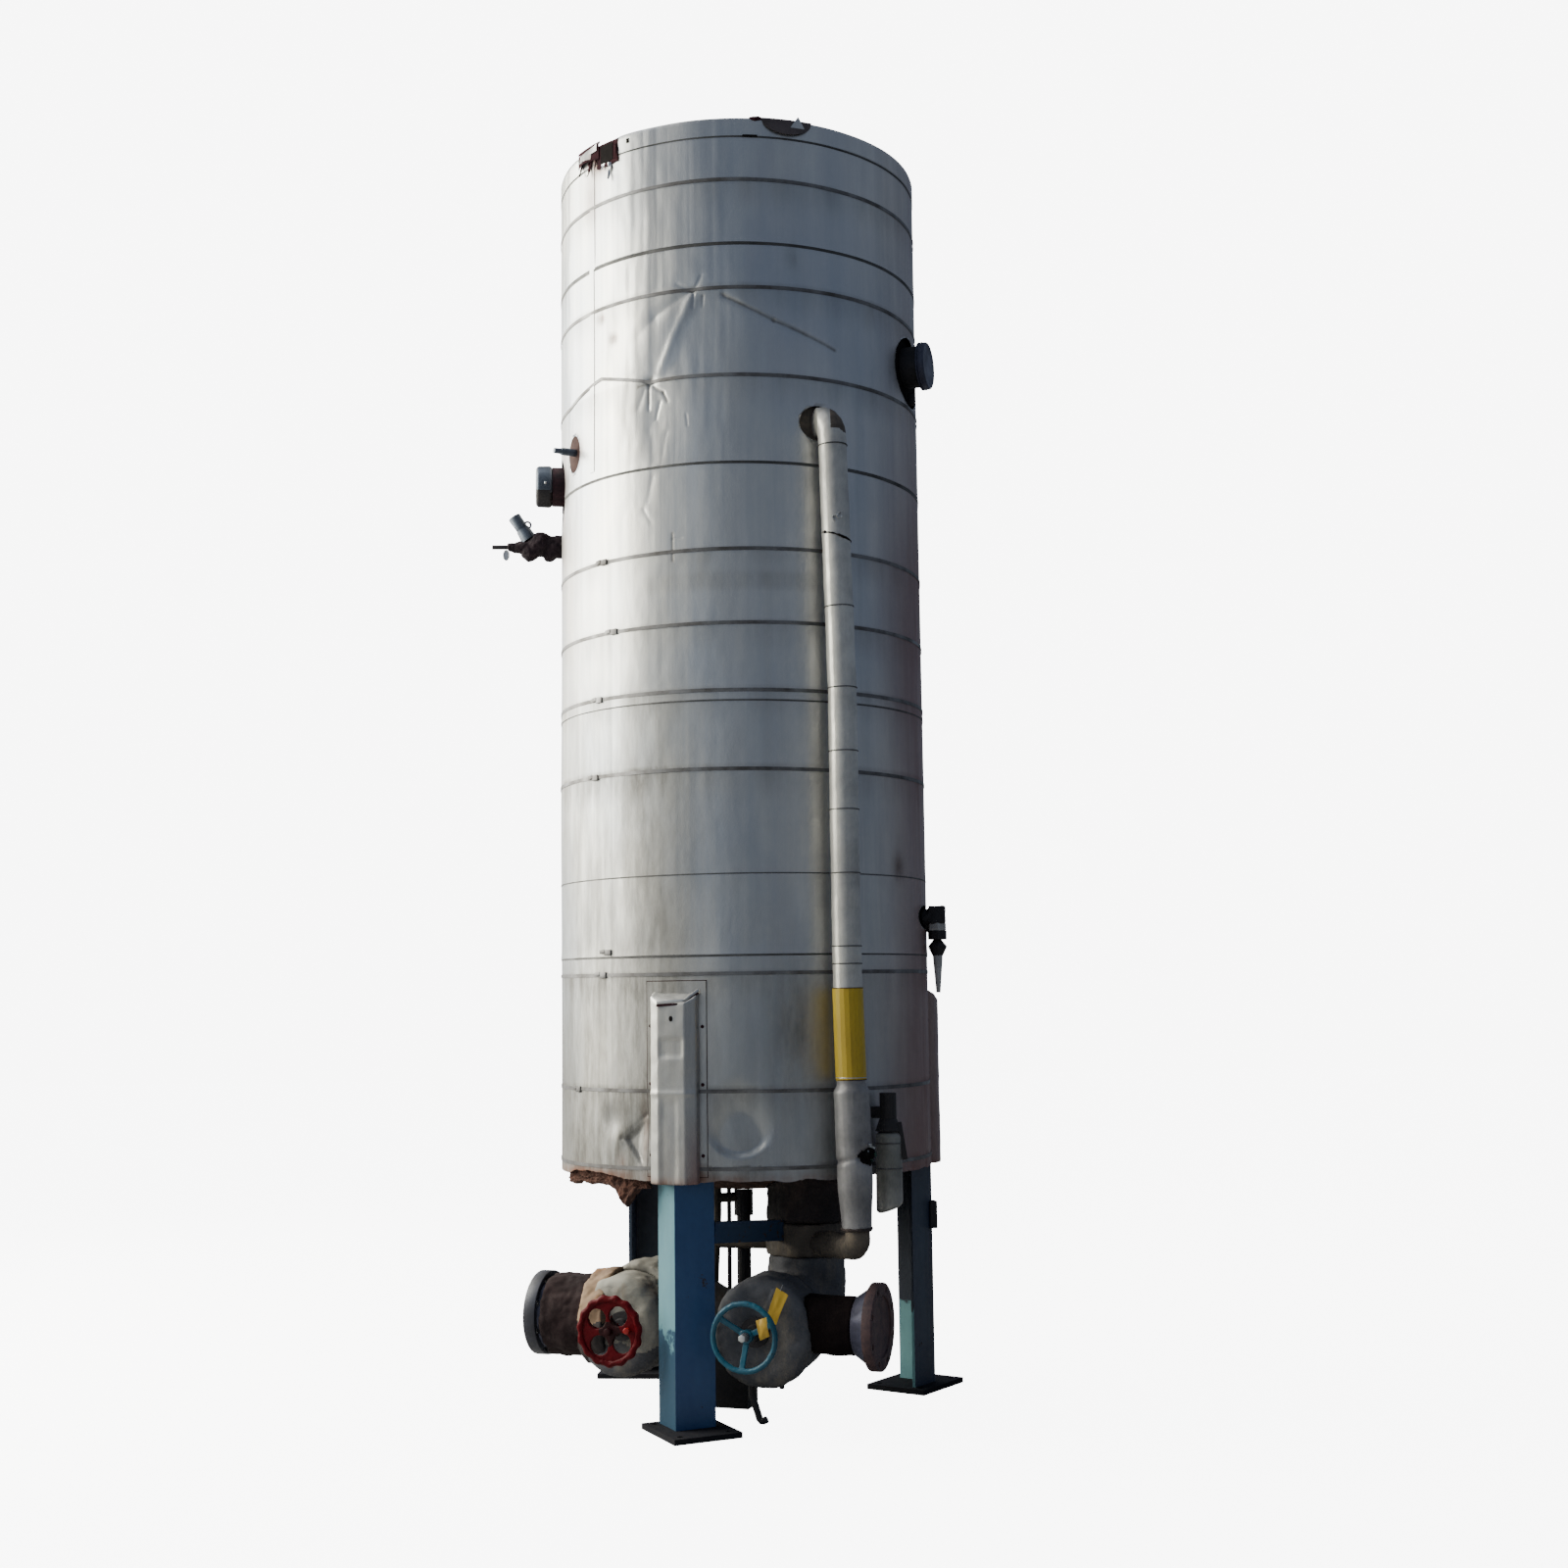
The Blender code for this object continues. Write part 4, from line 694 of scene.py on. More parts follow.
def sheetRustAndReflection(angle, height):
    fleck = 0.5 + 0.5 * roundNoise(angle, height, 14, 2.0, 3)
    rust = 0.0
    for a, z, wide, tall, much in rustSpots:
        u, v = apart(angle, a) * jacket["degree"] / wide, (height - z) / tall
        if abs(u) < 3 and abs(v) < 3:
            rust += much * exp(-u * u - v * v)
    # painted reflection: a little maroon round -12 degrees, kept in the rust layer
    rust += 0.20 * exp(-(apart(angle, -12) / 14) ** 2) * fleck
    rust += 0.8 * softly((0.905 - height) / 0.03) * fleck
    return max(0.0, min(1.0, rust))


def sheetMaroonReflection(angle, height):
    # painted reflection: dark maroon-brown down the right edge, wider towards the foot
    wave = 5 * roundNoise(angle, height, 2, 0.9)
    reach = -56 + wave - 4 * softly((1.75 - height) / 0.3)
    much = softly(apart(angle, reach) / 40) * (1 - softly(apart(angle, 8) / 24))
    return 0.95 * much * (0.30 + 0.70 * softly((3.95 + 0.07 * wave - height) / 0.95))


rustSpots = [(-137, 4.700, 0.06, 0.05, 1.0), (-142, 4.560, 0.05, 0.10, 0.35), (-153, 3.600, 0.060, 0.050, 1.1),
             (-137.1, 4.076, 0.020, 0.020, 0.8), (-131.8, 3.983, 0.02, 0.02, 0.7), (-173, 3.528, 0.12, 0.12, 0.8),
             (-145, 0.885, 0.20, 0.020, 0.9), (-104, 0.90, 0.03, 0.03, 0.5), (-20, 3.955, 0.12, 0.12, 0.35),
             (-121, 1.02, 0.015, 0.10, 0.35), (-129, 0.93, 0.02, 0.03, 0.4), (-163, 3.22, 0.15, 0.30, 0.36)]
straps = {"heights": (4.524, 4.114, 3.783, 3.131, 2.861, 2.615, 2.327, 1.599, 1.183, 0.912),
          "laps": ((4.707, 0.006), (4.300, 0.012), (3.472, 0.011), (2.594, 0.005), (1.967, 0.004), (1.680, 0.007)),
          "wide": 0.013, "thick": 0.0012, "sagging": 3.783, "lifted": -137.2, "sag": 0.056, "slack": 19,
          "seal": (0.0050, 0.034, 0.022), "sealAt": 0.7155, "tail": (0.0016, 0.030, 0.014), "tailAt": 0.7175,
          "clips": ((-135.6, 3.131), (-131.3, 2.861), (-138.0, 2.615), (-140.1, 2.327), (-134.3, 1.680),
                    (-136.5, 1.599), (48, 3.131), (52, 2.327), (47, 1.183), (-150, 1.183), (44, 4.114))}
# angle, height, half-width, half-height
openings = {"vent": (-65.5, 3.612, 0.080, 0.067), "right upper": (-20.0, 3.932, 0.150, 0.138),
            "left stub": (-172.0, 3.490, 0.105, 0.140), "left rod": (-153.6, 3.596, 0.056, 0.072),
            "left valve": (-178.0, 3.300, 0.056, 0.056), "right lower": (-12.0, 1.809, 0.120, 0.045)}


def cutOpening(piece, key):
    angle, height, wide, tall = openings[key]
    cutter = addTube("opening", 1.0, 0.5, around(angle, jacket["radius"], height), 28,
                     turn=pointing(around(angle, 1, 0) - around(angle, 0, 0)))
    cutter.scale = (wide, tall, 1)
    carve(piece, cutter)
    discard(cutter)


def paintLayers(mesh):
    names = ("grimeAndShade", "rust", "stainAndReflection", "waves")
    for name in names:
        mesh.attributes.new(name, "FLOAT", "POINT")
    return [mesh.attributes[name].data for name in names]


def weather(piece):
    # paints grime with painted shade, rust and stain with a painted maroon reflection, and how wavy the sheet is by the
    # place on the jacket
    mesh = piece.data
    dirtAndShade, rust, stainAndReflection, waves = paintLayers(mesh)
    for vertex in mesh.vertices:
        angle, height = angleOf(vertex.co), vertex.co.z
        dirtAndShade[vertex.index].value = sheetGrimeAndShade(angle, height)
        rust[vertex.index].value = sheetRustAndReflection(angle, height)
        stainAndReflection[vertex.index].value = sheetMaroonReflection(angle, height)
        wavy = 0.30 + 0.60 * softly((height - 3.20) / 0.4) + 0.25 * softly((1.6 - height) / 0.4)
        waves[vertex.index].value = wavy * (1 - 0.5 * softly(apart(angle, -110) / 40))
    mesh.update()


def pushOut(piece, howFar):
    # moves every point out or in, by what howFar says for its angle and height
    for vertex in piece.data.vertices:
        x, y = vertex.co.x - axisX, vertex.co.y - axisY
        push = howFar(degrees(atan2(y, x)), vertex.co.z)
        vertex.co.x += x / hypot(x, y) * push
        vertex.co.y += y / hypot(x, y) * push
    piece.data.update()


def onSheet(piece):
    pushOut(piece, sheetPush)
    weather(piece)


def sheetRound(name, radius, low, high, rows, sides):
    # an open round of sheet with even rows
    piece = addTube(name, radius, high - low, (axisX, axisY, (low + high) / 2), sides, "NOTHING")
    selectWhere(piece, "edges", lambda edge: abs(edge.verts[0].co.z - edge.verts[1].co.z) > 0.001)
    if rows > 1:
        bpy.ops.mesh.subdivide(number_cuts=rows - 1)
    bpy.ops.object.mode_set(mode="OBJECT")
    bpy.ops.object.transform_apply(location=True, rotation=True, scale=True)
    return piece


def thicken(piece, thickness, inward=True):
    solid = piece.modifiers.new("wall", "SOLIDIFY")
    solid.thickness, solid.offset = thickness, -1 if inward else 1
    solid.use_even_offset = False
    pickOnly(piece)
    bpy.ops.object.modifier_apply(modifier=solid.name)


def creased(angle, height):
    # near a crease, the hollow's edge or a dent by the front leg, where the sheet needs more points
    for start, end, wide, deep in creases:
        if abs(apart(angle, start[0])) < 40 and toLine(angle, height, start, end)[0] < wide + 0.012:
            return True
    return (-131 < angle < -84 and 0.92 < height < 1.16) or (-121 < angle < -100 and 3.72 < height < 4.13)


def refine(piece):
    # more points where the sheet is creased
    def chosen(face):
        middle = face.calc_center_median()
        return creased(angleOf(middle), middle.z)
    pickOnly(piece)
    selectWhere(piece, "faces", chosen)
    bpy.ops.mesh.subdivide(number_cuts=2)
    bpy.ops.object.mode_set(mode="OBJECT")


def makeCourses():
    laps = jacket["laps"]
    holes = {2: ("right lower",), 3: ("left stub", "left valve"),
             4: ("vent", "right upper", "left stub", "left rod")}
    for number, (low, high) in enumerate(zip(laps, laps[1:]), start=1):
        foot = low - (jacket["over"] if number > 1 else 0)
        rows = round((high - foot) / jacket["row"])
        piece = sheetRound(f"sheet_course_{number}", jacket["radius"], foot, high, rows, jacket["around"])
        for vertex in piece.data.vertices:      # the lower edge springs a little over the course below
            x, y = vertex.co.x - axisX, vertex.co.y - axisY
            spring = 1 + (0.0030 * exp(-(vertex.co.z - foot) / 0.02) if number > 1 else 0.0)
            vertex.co.x, vertex.co.y = axisX + x * spring, axisY + y * spring
            if number == 1 and vertex.co.z < jacket["frayed"]:
                angle = degrees(atan2(y, x))
                fray = (jacket["frayed"] - vertex.co.z) / 0.06
                ragged = 0.008 * noise.noise(Vector((angle * 0.16, 0, 0)))
                ragged += 0.003 * noise.noise(Vector((angle * 0.9, 3, 0)))
                torn = 0.022 * softly(1 - abs(apart(angle, -143)) / 22)
                torn += 0.014 * noise.noise(Vector((angle * 0.07, 9, 0))) * softly(1 - abs(apart(angle, -62)) / 40)
                vertex.co.z += fray * (ragged + torn)
        refine(piece)
        onSheet(piece)
        thicken(piece, jacket["sheet"])
        for key in holes.get(number, ()):
            cutOpening(piece, key)
        complete(piece, sheet, stands=(f"jacket_course_{number}",), smooth=60)
        print("sheet course", number)


makeCourses()


def makeStrap(name, height, wide, thick, lift, look, sag=0.0):
    piece = sheetRound(name, jacket["radius"] + lift, height - wide / 2, height + wide / 2, 1, 192)
    for vertex in piece.data.vertices:
        angle = angleOf(vertex.co)
        vertex.co.z += sag * max(0.0, 1 - abs(apart(angle, straps["lifted"])) / straps["slack"])
        vertex.co.z += 0.002 * sin(radians(angle * 2 + height * 300))
    onSheet(piece)
    thicken(piece, thick, inward=False)
    for key, (angle, middle, half, tall) in openings.items():
        if abs(middle - height) < tall:
            cutOpening(piece, key)
    complete(piece, look)


for number, height in enumerate(straps["heights"], start=1):
    makeStrap(f"strap_{number}", height, straps["wide"], straps["thick"], 0.0012, strapMetal,
              straps["sag"] if height == straps["sagging"] else 0.0)
for number, (height, wide) in enumerate(straps["laps"], start=1):
    makeStrap(f"lap_line_{number}", height - jacket["over"] - wide / 2, wide, 0.0008, 0.0008, darkSeam)


def makeClip(number, angle, height):
    # the crimped seal of a strap, with the strap's tail bent back over it
    push = sheetPush(angle, height)
    seal = addBlock("seal", straps["seal"], around(angle, straps["sealAt"] + push, height), turned(angle))
    rounded(seal, 0.0015)
    settle(seal)
    tail = addBlock("tail", straps["tail"], around(angle - 2.4, straps["tailAt"] + push, height + 0.004),
                    (0.12, 0, radians(angle - 6)))
    rounded(tail, 0.0006)
    settle(tail)
    clip = joined([seal, tail])
    clip.name = f"strap_clip_{number}"
    complete(clip, strapMetal)


for number, (angle, height) in enumerate(straps["clips"], start=1):
    makeClip(number, angle, height)
print("straps are on")


# the top
cap = {"rim": 4.763, "skirt": 0.069, "edge": 0.7128, "around": 384,
       "steps": ((0.9985, 0.0028), (0.9960, 0.0010), (0.985, 0.0004), (0.90, 0.0012), (0.85, 0.0016), (0.75, 0.0025),
                 (0.66, 0.0025), (0.5, 0.0020), (0.3, 0.0012)),
       "crushed": -139}
topLap = {"count": 8, "first": 12, "size": (0.60, 0.020, 0.0016), "reach": 0.375, "lift": 0.0058, "slope": 0.0140}


def makeCap():
    piece = sheetRound("jacket_cap", cap["edge"], cap["rim"] - cap["skirt"], cap["rim"] - 0.004, 5, cap["around"])
    selectWhere(piece, "verts", lambda vertex: vertex.co.z > cap["rim"] - 0.006)
    for shrink, lift in cap["steps"]:
        bpy.ops.mesh.extrude_edges_move()
        bpy.ops.transform.resize(value=(shrink, shrink, 1), center_override=(axisX, axisY, cap["rim"]))
        bpy.ops.transform.translate(value=(0, 0, lift))
    bpy.ops.mesh.merge(type="CENTER")
    bpy.ops.object.mode_set(mode="OBJECT")
    for vertex in piece.data.vertices:
        if vertex.co.z < cap["rim"] - 0.01:
            continue
        x, y = vertex.co.x - axisX, vertex.co.y - axisY
        vertex.co.z += 0.0015 * noise.noise(Vector((x * 5, y * 5, 0)))
    onSheet(piece)
    for vertex in piece.data.vertices:
        angle = angleOf(vertex.co)
        crushed = softly(1 - abs(apart(angle, cap["crushed"])) / 13) * softly((reachOf(vertex.co) - 0.60) / 0.1)
        vertex.co.z -= 0.014 * crushed * softly((vertex.co.z - 4.70) / 0.06)
    thicken(piece, jacket["sheet"])
    complete(piece, sheet, stands=("jacket_top",), smooth=40)
    for number in range(topLap["count"]):       # standing laps between the gores of the top
        angle = number * 360 / topLap["count"] + topLap["first"]
        place = around(angle, topLap["reach"], cap["rim"] + topLap["lift"])
        strip = addBlock(f"top_lap_{number + 1}", topLap["size"], place)
        rounded(strip, 0.0006)
        strip.rotation_euler = (0, topLap["slope"], radians(angle))
        complete(strip, strapMetal)


makeCap()
print("top is on")


# sheet patches that follow the jacket
def makePatch(name, left, right, low, high, lift, thick, look, edge=None, columns=24, rows=24):
    # left and right are angles; edge moves the border points for a torn outline
    bpy.ops.object.select_all(action="DESELECT")
    bpy.ops.mesh.primitive_grid_add(x_subdivisions=columns, y_subdivisions=rows, size=1)
    piece = called(name)
    for vertex in piece.data.vertices:
        u, v = vertex.co.x + 0.5, vertex.co.y + 0.5
        if edge:
            u, v, proud = edge(u, v)
        else:
            proud = 0.0
        angle, height = left + (right - left) * u, low + (high - low) * v
        out = jacket["radius"] + lift + proud + (sheetPush(angle, height) if proud < 0.02 else 0.0)
        vertex.co = around(angle, out, height)
    weather(piece)
    thicken(piece, thick, inward=False)
    complete(piece, look, smooth=50)
    return piece


legAngles = {"front": -110.4, "right": 9.6, "rear": 129.6}
uprightSeams = ((-141.0, 4.28, 4.69), (-141.6, 3.49, 4.29), (150.0, 2.60, 3.46), (75.0, 1.69, 2.58),
                (168.0, 0.89, 1.66))
for number, (angle, low, high) in enumerate(uprightSeams, start=1):
    makePatch(f"upright_seam_{number}", angle - 1.1, angle + 1.1, low, high, 0.0012, 0.0010, sheet, columns=3, rows=30)

# sheet covers over the legs, crumpled; the front one has a hooded top and a hole
coverLook = {"half": 9.15, "top": 1.572,
             "screws": ((-8.0, 1.415), (-8.0, 1.211), (-8.0, 0.960), (8.0, 1.411), (8.0, 1.207), (8.0, 0.960)),
             "panel": (1.294, 1.380), "fold": 1.178, "hood": (-3.9, 3.7, 1.503), "corner": (7.2, 0.722, 1.5405),
             "hole": (0.12, 1.440)}


def dentCover(cover, angle):
    # a sunk panel near the top, a fold across the middle and a hollow front below it
    low, high = coverLook["panel"]
    fold = coverLook["fold"]

    def dent(turn, z):
        off = apart(turn, angle)
        sunk = softly((z - low) / 0.022) * softly((high - z) / 0.022)
        sunk = sunk * softly((off + 4.0) / 1.4) * softly((4.2 - off) / 1.4)
        below = softly((fold - z) / 0.04) * softly((off + 3.8) / 1.8) * softly((2.4 - off) / 1.6)
        return 0.0026 * exp(-((z - fold) / 0.009) ** 2) - 0.0034 * sunk - 0.0034 * below
    pushOut(cover, dent)


def onCover(cover, angle, height, out=0.0):
    hit, spot, normal, face = cover.ray_cast(around(angle, 1.2, height), -outward(angle))
    return spot + outward(angle) * out


for side, angle in legAngles.items():
    half, top = coverLook["half"], coverLook["top"]
    makePatch(f"cover_seal_{side}", angle - half - 0.22, angle + half + 0.22, 0.884, top + 0.0028, 0.0004, 0.0008,
              tornEdgeAndShadow, rows=40)
    makePatch(f"cover_flashing_{side}", angle - half, angle + half, 0.886, top, 0.0012, 0.0010, sheet, rows=40)
    cover = copyOf(f"leg_cover_{side}", f"leg_box_{side}")
    lumpy(cover, 0.0055, 0.0022, 0.16, 2, seed=angle)
    if side == "front":
        dentCover(cover, angle)
    dirtAndShade, rust, stainAndReflection, waves = paintLayers(cover.data)
    for vertex in cover.data.vertices:
        turn = angleOf(vertex.co)
        low = softly((1.15 - vertex.co.z) / 0.3)
        dirtAndShade[vertex.index].value = 0.44 + 0.10 * low
        rust[vertex.index].value = (0.6 * softly((0.90 - vertex.co.z) / 0.04)
                                    + 0.18 * softly((apart(turn, angle) + 3.8) / 1.0) * low)
        # painted reflection on the right leg's cover; a real brown stain low on the front cover's right
        stainAndReflection[vertex.index].value = 0.85 if side == "right" else 0.75 * low * softly((apart(turn, angle) - 2.5) / 4)
        waves[vertex.index].value = 0.35
    complete(cover, sheet, stands=(f"leg_cover_{side}",), smooth=60)
    if side == "front":
        left, right, height = coverLook["hood"]
        start, end = onCover(cover, angle + left, height - 0.006, 0.003), onCover(cover, angle + right, height, 0.003)
        beyond, reach, height = coverLook["corner"]
        far = around(angle + beyond, reach, height)
        hood = merged("cover_hood", [rounded(addBar("lip", 0.009, 0.012, start, end), 0.002),
                                     rounded(addBar("side lip", 0.008, 0.010, end, far), 0.002)])
        complete(hood, sheet)
        hoodShadow = [addBar("under lip", 0.0065, 0.0070, start, end), addBar("under side lip", 0.0065, 0.0060, end, far)]
        for bar in hoodShadow:                         # painted shadow: the dark strip lies just under the lips
            bar.location += outward(angle) * 0.0028 + Vector((0, 0, -0.0105))
        hoodShadow = merged("cover_hood_shadow", hoodShadow)
        complete(hoodShadow, tornEdgeAndShadow)
        spot, height = coverLook["hole"]
        hole = addBall("cover_hole", 0.0068, onCover(cover, angle + spot, height), (1.0, 0.45, 1.5), turned(angle + 90))
        # painted shade: the cover's hole is a near-black dent
        complete(hole, shadeInHoles)
    for number, (offset, height) in enumerate(coverLook["screws"], start=1):
        spot = around(angle + offset, 0.7145 + sheetPush(angle + offset, height), height)
        screw = addTube(f"cover_screw_{side}_{number}", 0.0068, 0.0040, spot, 6, turn=pointing(outward(angle + offset)))
        rounded(screw, 0.0008)
        complete(screw, tornEdgeAndShadow)
print("leg covers are on")


# the insulation behind the sheet, its outer side pressed back all round to leave room for the sheet's dents
lining = copyOf("insulation", "insulation_lining")
for vertex in lining.data.vertices:
    x, y = vertex.co.x - axisX, vertex.co.y - axisY
    if hypot(x, y) > 0.70:                      # only its outer side
        vertex.co.x, vertex.co.y = axisX + x * 0.962, axisY + y * 0.962
complete(lining, wool, stands=("insulation",))


# torn places
def raggedEdge(seed, proud):
    def edge(u, v):
        wave = noise.noise(Vector((u * 6 + seed, 0, 0)))
        fine = noise.noise(Vector((u * 19 + seed, 4, 0)))
        v = v if v > 0.5 else v - (0.5 - v) * (0.55 * wave + 0.25 * fine)
        return u + 0.03 * fine * (1 - v), v, proud * (1 - v) ** 2
    return edge


tornWool = {"left": -166, "right": -121, "low": 0.800, "high": 0.900, "thick": 0.030}


def makeTornWool():
    # the insulation that hangs out under the left of the jacket
    piece = makePatch("torn_insulation", tornWool["left"], tornWool["right"], tornWool["low"], tornWool["high"], -0.052,
                      tornWool["thick"], wool, raggedEdge(3.0, 0.0), 60, 16)
    lumpy(piece, 0.006, 0.012, 0.03, 2, seed=5)
    for vertex in piece.data.vertices:          # the hanging tongue near the front leg
        angle = angleOf(vertex.co)
        if vertex.co.z < 0.875:
            tongue = exp(-(apart(angle, -130) / 3.5) ** 2)
            shelf = 0.55 * softly((apart(angle, -166)) / 6) * softly((-150 - angle) / 10)
            vertex.co.z += (0.875 - vertex.co.z) * (0.55 - 0.75 * tongue - 0.2 * shelf)
    piece.data.update()


makeTornWool()
print("torn places are done")


# plain CAD nodes take their finish
def dress(look, *names):
    for name in names:
        nodes[name].data.materials.clear()
        nodes[name].data.materials.append(look)


dress(beamBlue, "support_beam")
# the rear leg takes the leg paint in painted shade
dress(legBlueInShade, "leg_rear")
dress(plateBlack, "base_plate_front", "base_plate_right", "base_plate_rear")
dress(wool, "bottom_insulation")
dress(bareSteel, "vessel_shell", "bottom_head", "top_head", "stem_left", "stem_right")
dress(casting, "bonnet_left", "bonnet_right", "nozzle_right_upper", "nozzle_right_lower", "level_pot_neck",
      "drain_line", "oil_box", "sample_line", "valve_foot")
dress(brownTapeAndShadow, "balance_line")
dress(yellowBand, "vent_marker")
print("plain nodes are dressed")

# wrapped valves, header and outlet
for side, look in (("right", greyWrap), ("left", paleWrap)):
    body = copyOf(f"valve_body_{side}", f"valve_wrap_{side}")
    lumpy(body, 0.0075, 0.010 if side == "right" else 0.007, 0.11, 6, seed=3 if side == "right" else 8)
    complete(body, look, stands=(f"valve_body_{side}",), smooth=70)
    if side == "left":
        secondLook(body, greyWrap, raggedBelow(0.255, 0.05, 9))
for node, name, voxel, lump, look, slot, seed in (
        ("suction_header", "header_wrap", 0.009, 0.010, paleWrap, "valve_wrap", 11),
        ("valve_neck_left", "neck_wrap_left", 0.007, 0.009, neckWrap, "lagging_tape", 23),
        ("valve_neck_right", "neck_wrap_right", 0.007, 0.005, pipeWrap, "lagging_tape", 27),
        ("outlet_pipe", "outlet_wrap", 0.008, 0.010, darkWrap, "lagging_tape", 14),
        ("outlet_collar", "outlet_tape", 0.007, 0.007, brownTapeAndShadow, "lagging_tape", 17),
        ("vent_return", "return_tape", 0.0045, 0.005, brownTapeAndShadow, "lagging_tape", 20)):
    wrap = copyOf(node, name)
    lumpy(wrap, voxel, lump, 0.09, 5, seed=seed)
    complete(wrap, look, stands=(node,), smooth=70)
    if node == "suction_header":
        secondLook(wrap, greyWrap, lambda face: (face.center - inPiping(0.02, 0, 0)).dot(alongPiping) > 0)
shoulder = merged("valve_shoulder_left", [
    addCone("wide", 0.178, 0.170, inPiping(-0.33, -0.455, 0.352), inPiping(-0.425, -0.455, 0.350)),
    addCone("narrow", 0.170, 0.118, inPiping(-0.420, -0.455, 0.350), inPiping(-0.478, -0.460, 0.356))])
complete(lumpy(shoulder, 0.007, 0.009, 0.07, 5, seed=25), tanWrap, smooth=70)
secondLook(shoulder, darkWrap, raggedBelow(0.345, 0.03, 14))
print("valves are wrapped")


def selectFacing(piece, direction, least=0.99):
    settle(piece)
    selectWhere(piece, "faces", lambda face: face.normal.dot(direction) > least)


def makeFlake(name, place, size, turn, look, crumple=0.10, taper=0.0, curl=0.0, seed=0.0):
    # a torn scrap of sheet that hangs from its place: crumpled, drawn to a point and curled outwards
    bpy.ops.object.select_all(action="DESELECT")
    bpy.ops.mesh.primitive_grid_add(x_subdivisions=9, y_subdivisions=12, size=1)
    piece = called(name)
    for vertex in piece.data.vertices:
        across, down = vertex.co.x, 0.5 - vertex.co.y
        jag = 0.14 * noise.noise(Vector((down * 5 + seed, seed, 0)))
        high = curl * down * down + crumple * noise.noise(Vector((across * 3, down * 3, seed * 3)))
        vertex.co = (size[0] * (across * (1 - taper * down) + jag), -size[1] * down, size[1] * high)
    piece.location, piece.rotation_euler = place, turn
    thicken(piece, 0.0010, inward=False)
    complete(piece, look, smooth=30)
    return piece


# left side: capped stub, and the small valve under it
leftStub = {"angle": -173.0, "height": 3.528, "radius": 0.0768, "start": 0.66, "weld": 0.748, "tip": 0.8125,
            "dark": 0.026}


def makeLeftStub():
    angle, height, radius = leftStub["angle"], leftStub["height"], leftStub["radius"]
    start, weld, tip = (around(angle, leftStub[key], height) for key in ("start", "weld", "tip"))
    pipe = addCone("left_stub_pipe", radius, radius, start, weld, 48)
    complete(pipe, maroon, stands=("nozzle_left_stub",))
    end = addCone("left_stub_cap", radius * 1.07, radius * 1.04, weld, tip, 48)
    selectFacing(end, outward(angle))
    bpy.ops.mesh.inset(thickness=0.030)
    bpy.ops.mesh.inset(thickness=0.025)
    bpy.ops.object.mode_set(mode="OBJECT")
    rounded(end, 0.014, 5, 50)
    complete(end, bareSteel, smooth=50)
    secondLook(end, casting, raggedBelow(height - leftStub["dark"], 0.02, 25))
    stud = addBall("left_stub_stud", 0.0062, around(angle, 0.776, height - 0.004) + Vector((0.0093, -0.0800, 0)))
    complete(stud, paleMetal)


leftRod = {"angle": -153, "height": 3.600, "start": 0.655, "shoulder": 0.768, "tip": 0.797}


def makeLeftRod():
    start, shoulder, neck, tip = (around(leftRod["angle"], reach, leftRod["height"]) for reach in (
        leftRod["start"], leftRod["shoulder"], leftRod["shoulder"] - 0.003, leftRod["tip"]))
    rod = merged("left_rod_stud", [rounded(addCone("rod", 0.0145, 0.0140, start, shoulder, 20), 0.002),
                                   rounded(addCone("thread", 0.0108, 0.0104, neck, tip, 16), 0.002)])
    complete(rod, bareSteel, stands=("nozzle_left_rod",))


sideValve = {"angle": -178.0, "spindle": (0.895, 0.987, 3.300), "tag": (0.931, 3.268), "oval": (0.78, 1.25, 1.0)}


def atValve(reach, height):
    return around(sideValve["angle"], reach, height)


def makeSideValve():
    body = merged("side_valve_casting", [
        addCone("throat", 0.050, 0.043, atValve(0.655, 3.300), atValve(0.765, 3.303)),
        addBall("hump", 0.049, atValve(0.795, 3.311)),
        addBall("near lobe", 0.031, atValve(0.760, 3.274)),
        addBall("far lobe", 0.036, atValve(0.838, 3.279)),
        addCone("nose", 0.041, 0.014, atValve(0.815, 3.297), atValve(0.925, 3.300))])
    lumpy(body, 0.0038, 0.004, 0.022, 3, seed=4)
    complete(body, valveBlack, stands=("side_valve_body", "nozzle_left_valve"), smooth=60)
    foot, mouth = atValve(0.858, 3.360), atValve(0.9005, 3.4225)
    bonnet = addCone("barrel", 0.0235, 0.0255, foot, mouth, 28)
    selectFacing(bonnet, (mouth - foot).normalized())
    bpy.ops.mesh.inset(thickness=0.006)         # and sunk, as an open socket
    bpy.ops.mesh.extrude_region_move(TRANSFORM_OT_translate={"value": (foot - mouth) * 0.25})
    bpy.ops.object.mode_set(mode="OBJECT")
    whole = merged("side_valve_hood", [rounded(bonnet, 0.0018),
                                       addCone("collar", 0.032, 0.027, atValve(0.840, 3.330), atValve(0.866, 3.372)),
                                       addRing("eye", 0.0135, 0.0042, atValve(0.848, 3.390), (pi / 2, 0, 0), 24, 8)])
    complete(whole, bareSteel, stands=("side_valve_bonnet",), smooth=40)
    start, tip, height = sideValve["spindle"]
    stem = addCone("side_valve_spindle", 0.0088, 0.0086, atValve(start, height), atValve(tip, height), 20)
    rounded(stem, 0.002)
    complete(stem, casting, stands=("side_valve_stem",))
    ring = addRing("loop", 0.0150, 0.0026, atValve(*sideValve["tag"]), (pi / 2, 0, 0), 28, 8)
    plate = addTube("plate", 0.0145, 0.0016, atValve(*sideValve["tag"]), 28, turn=(pi / 2, 0, 0))
    ring.scale = plate.scale = sideValve["oval"]
    tag = merged("side_valve_tag", [ring, plate])
    complete(tag, paleMetal, smooth=40)


makeLeftStub()
makeLeftRod()
makeSideValve()


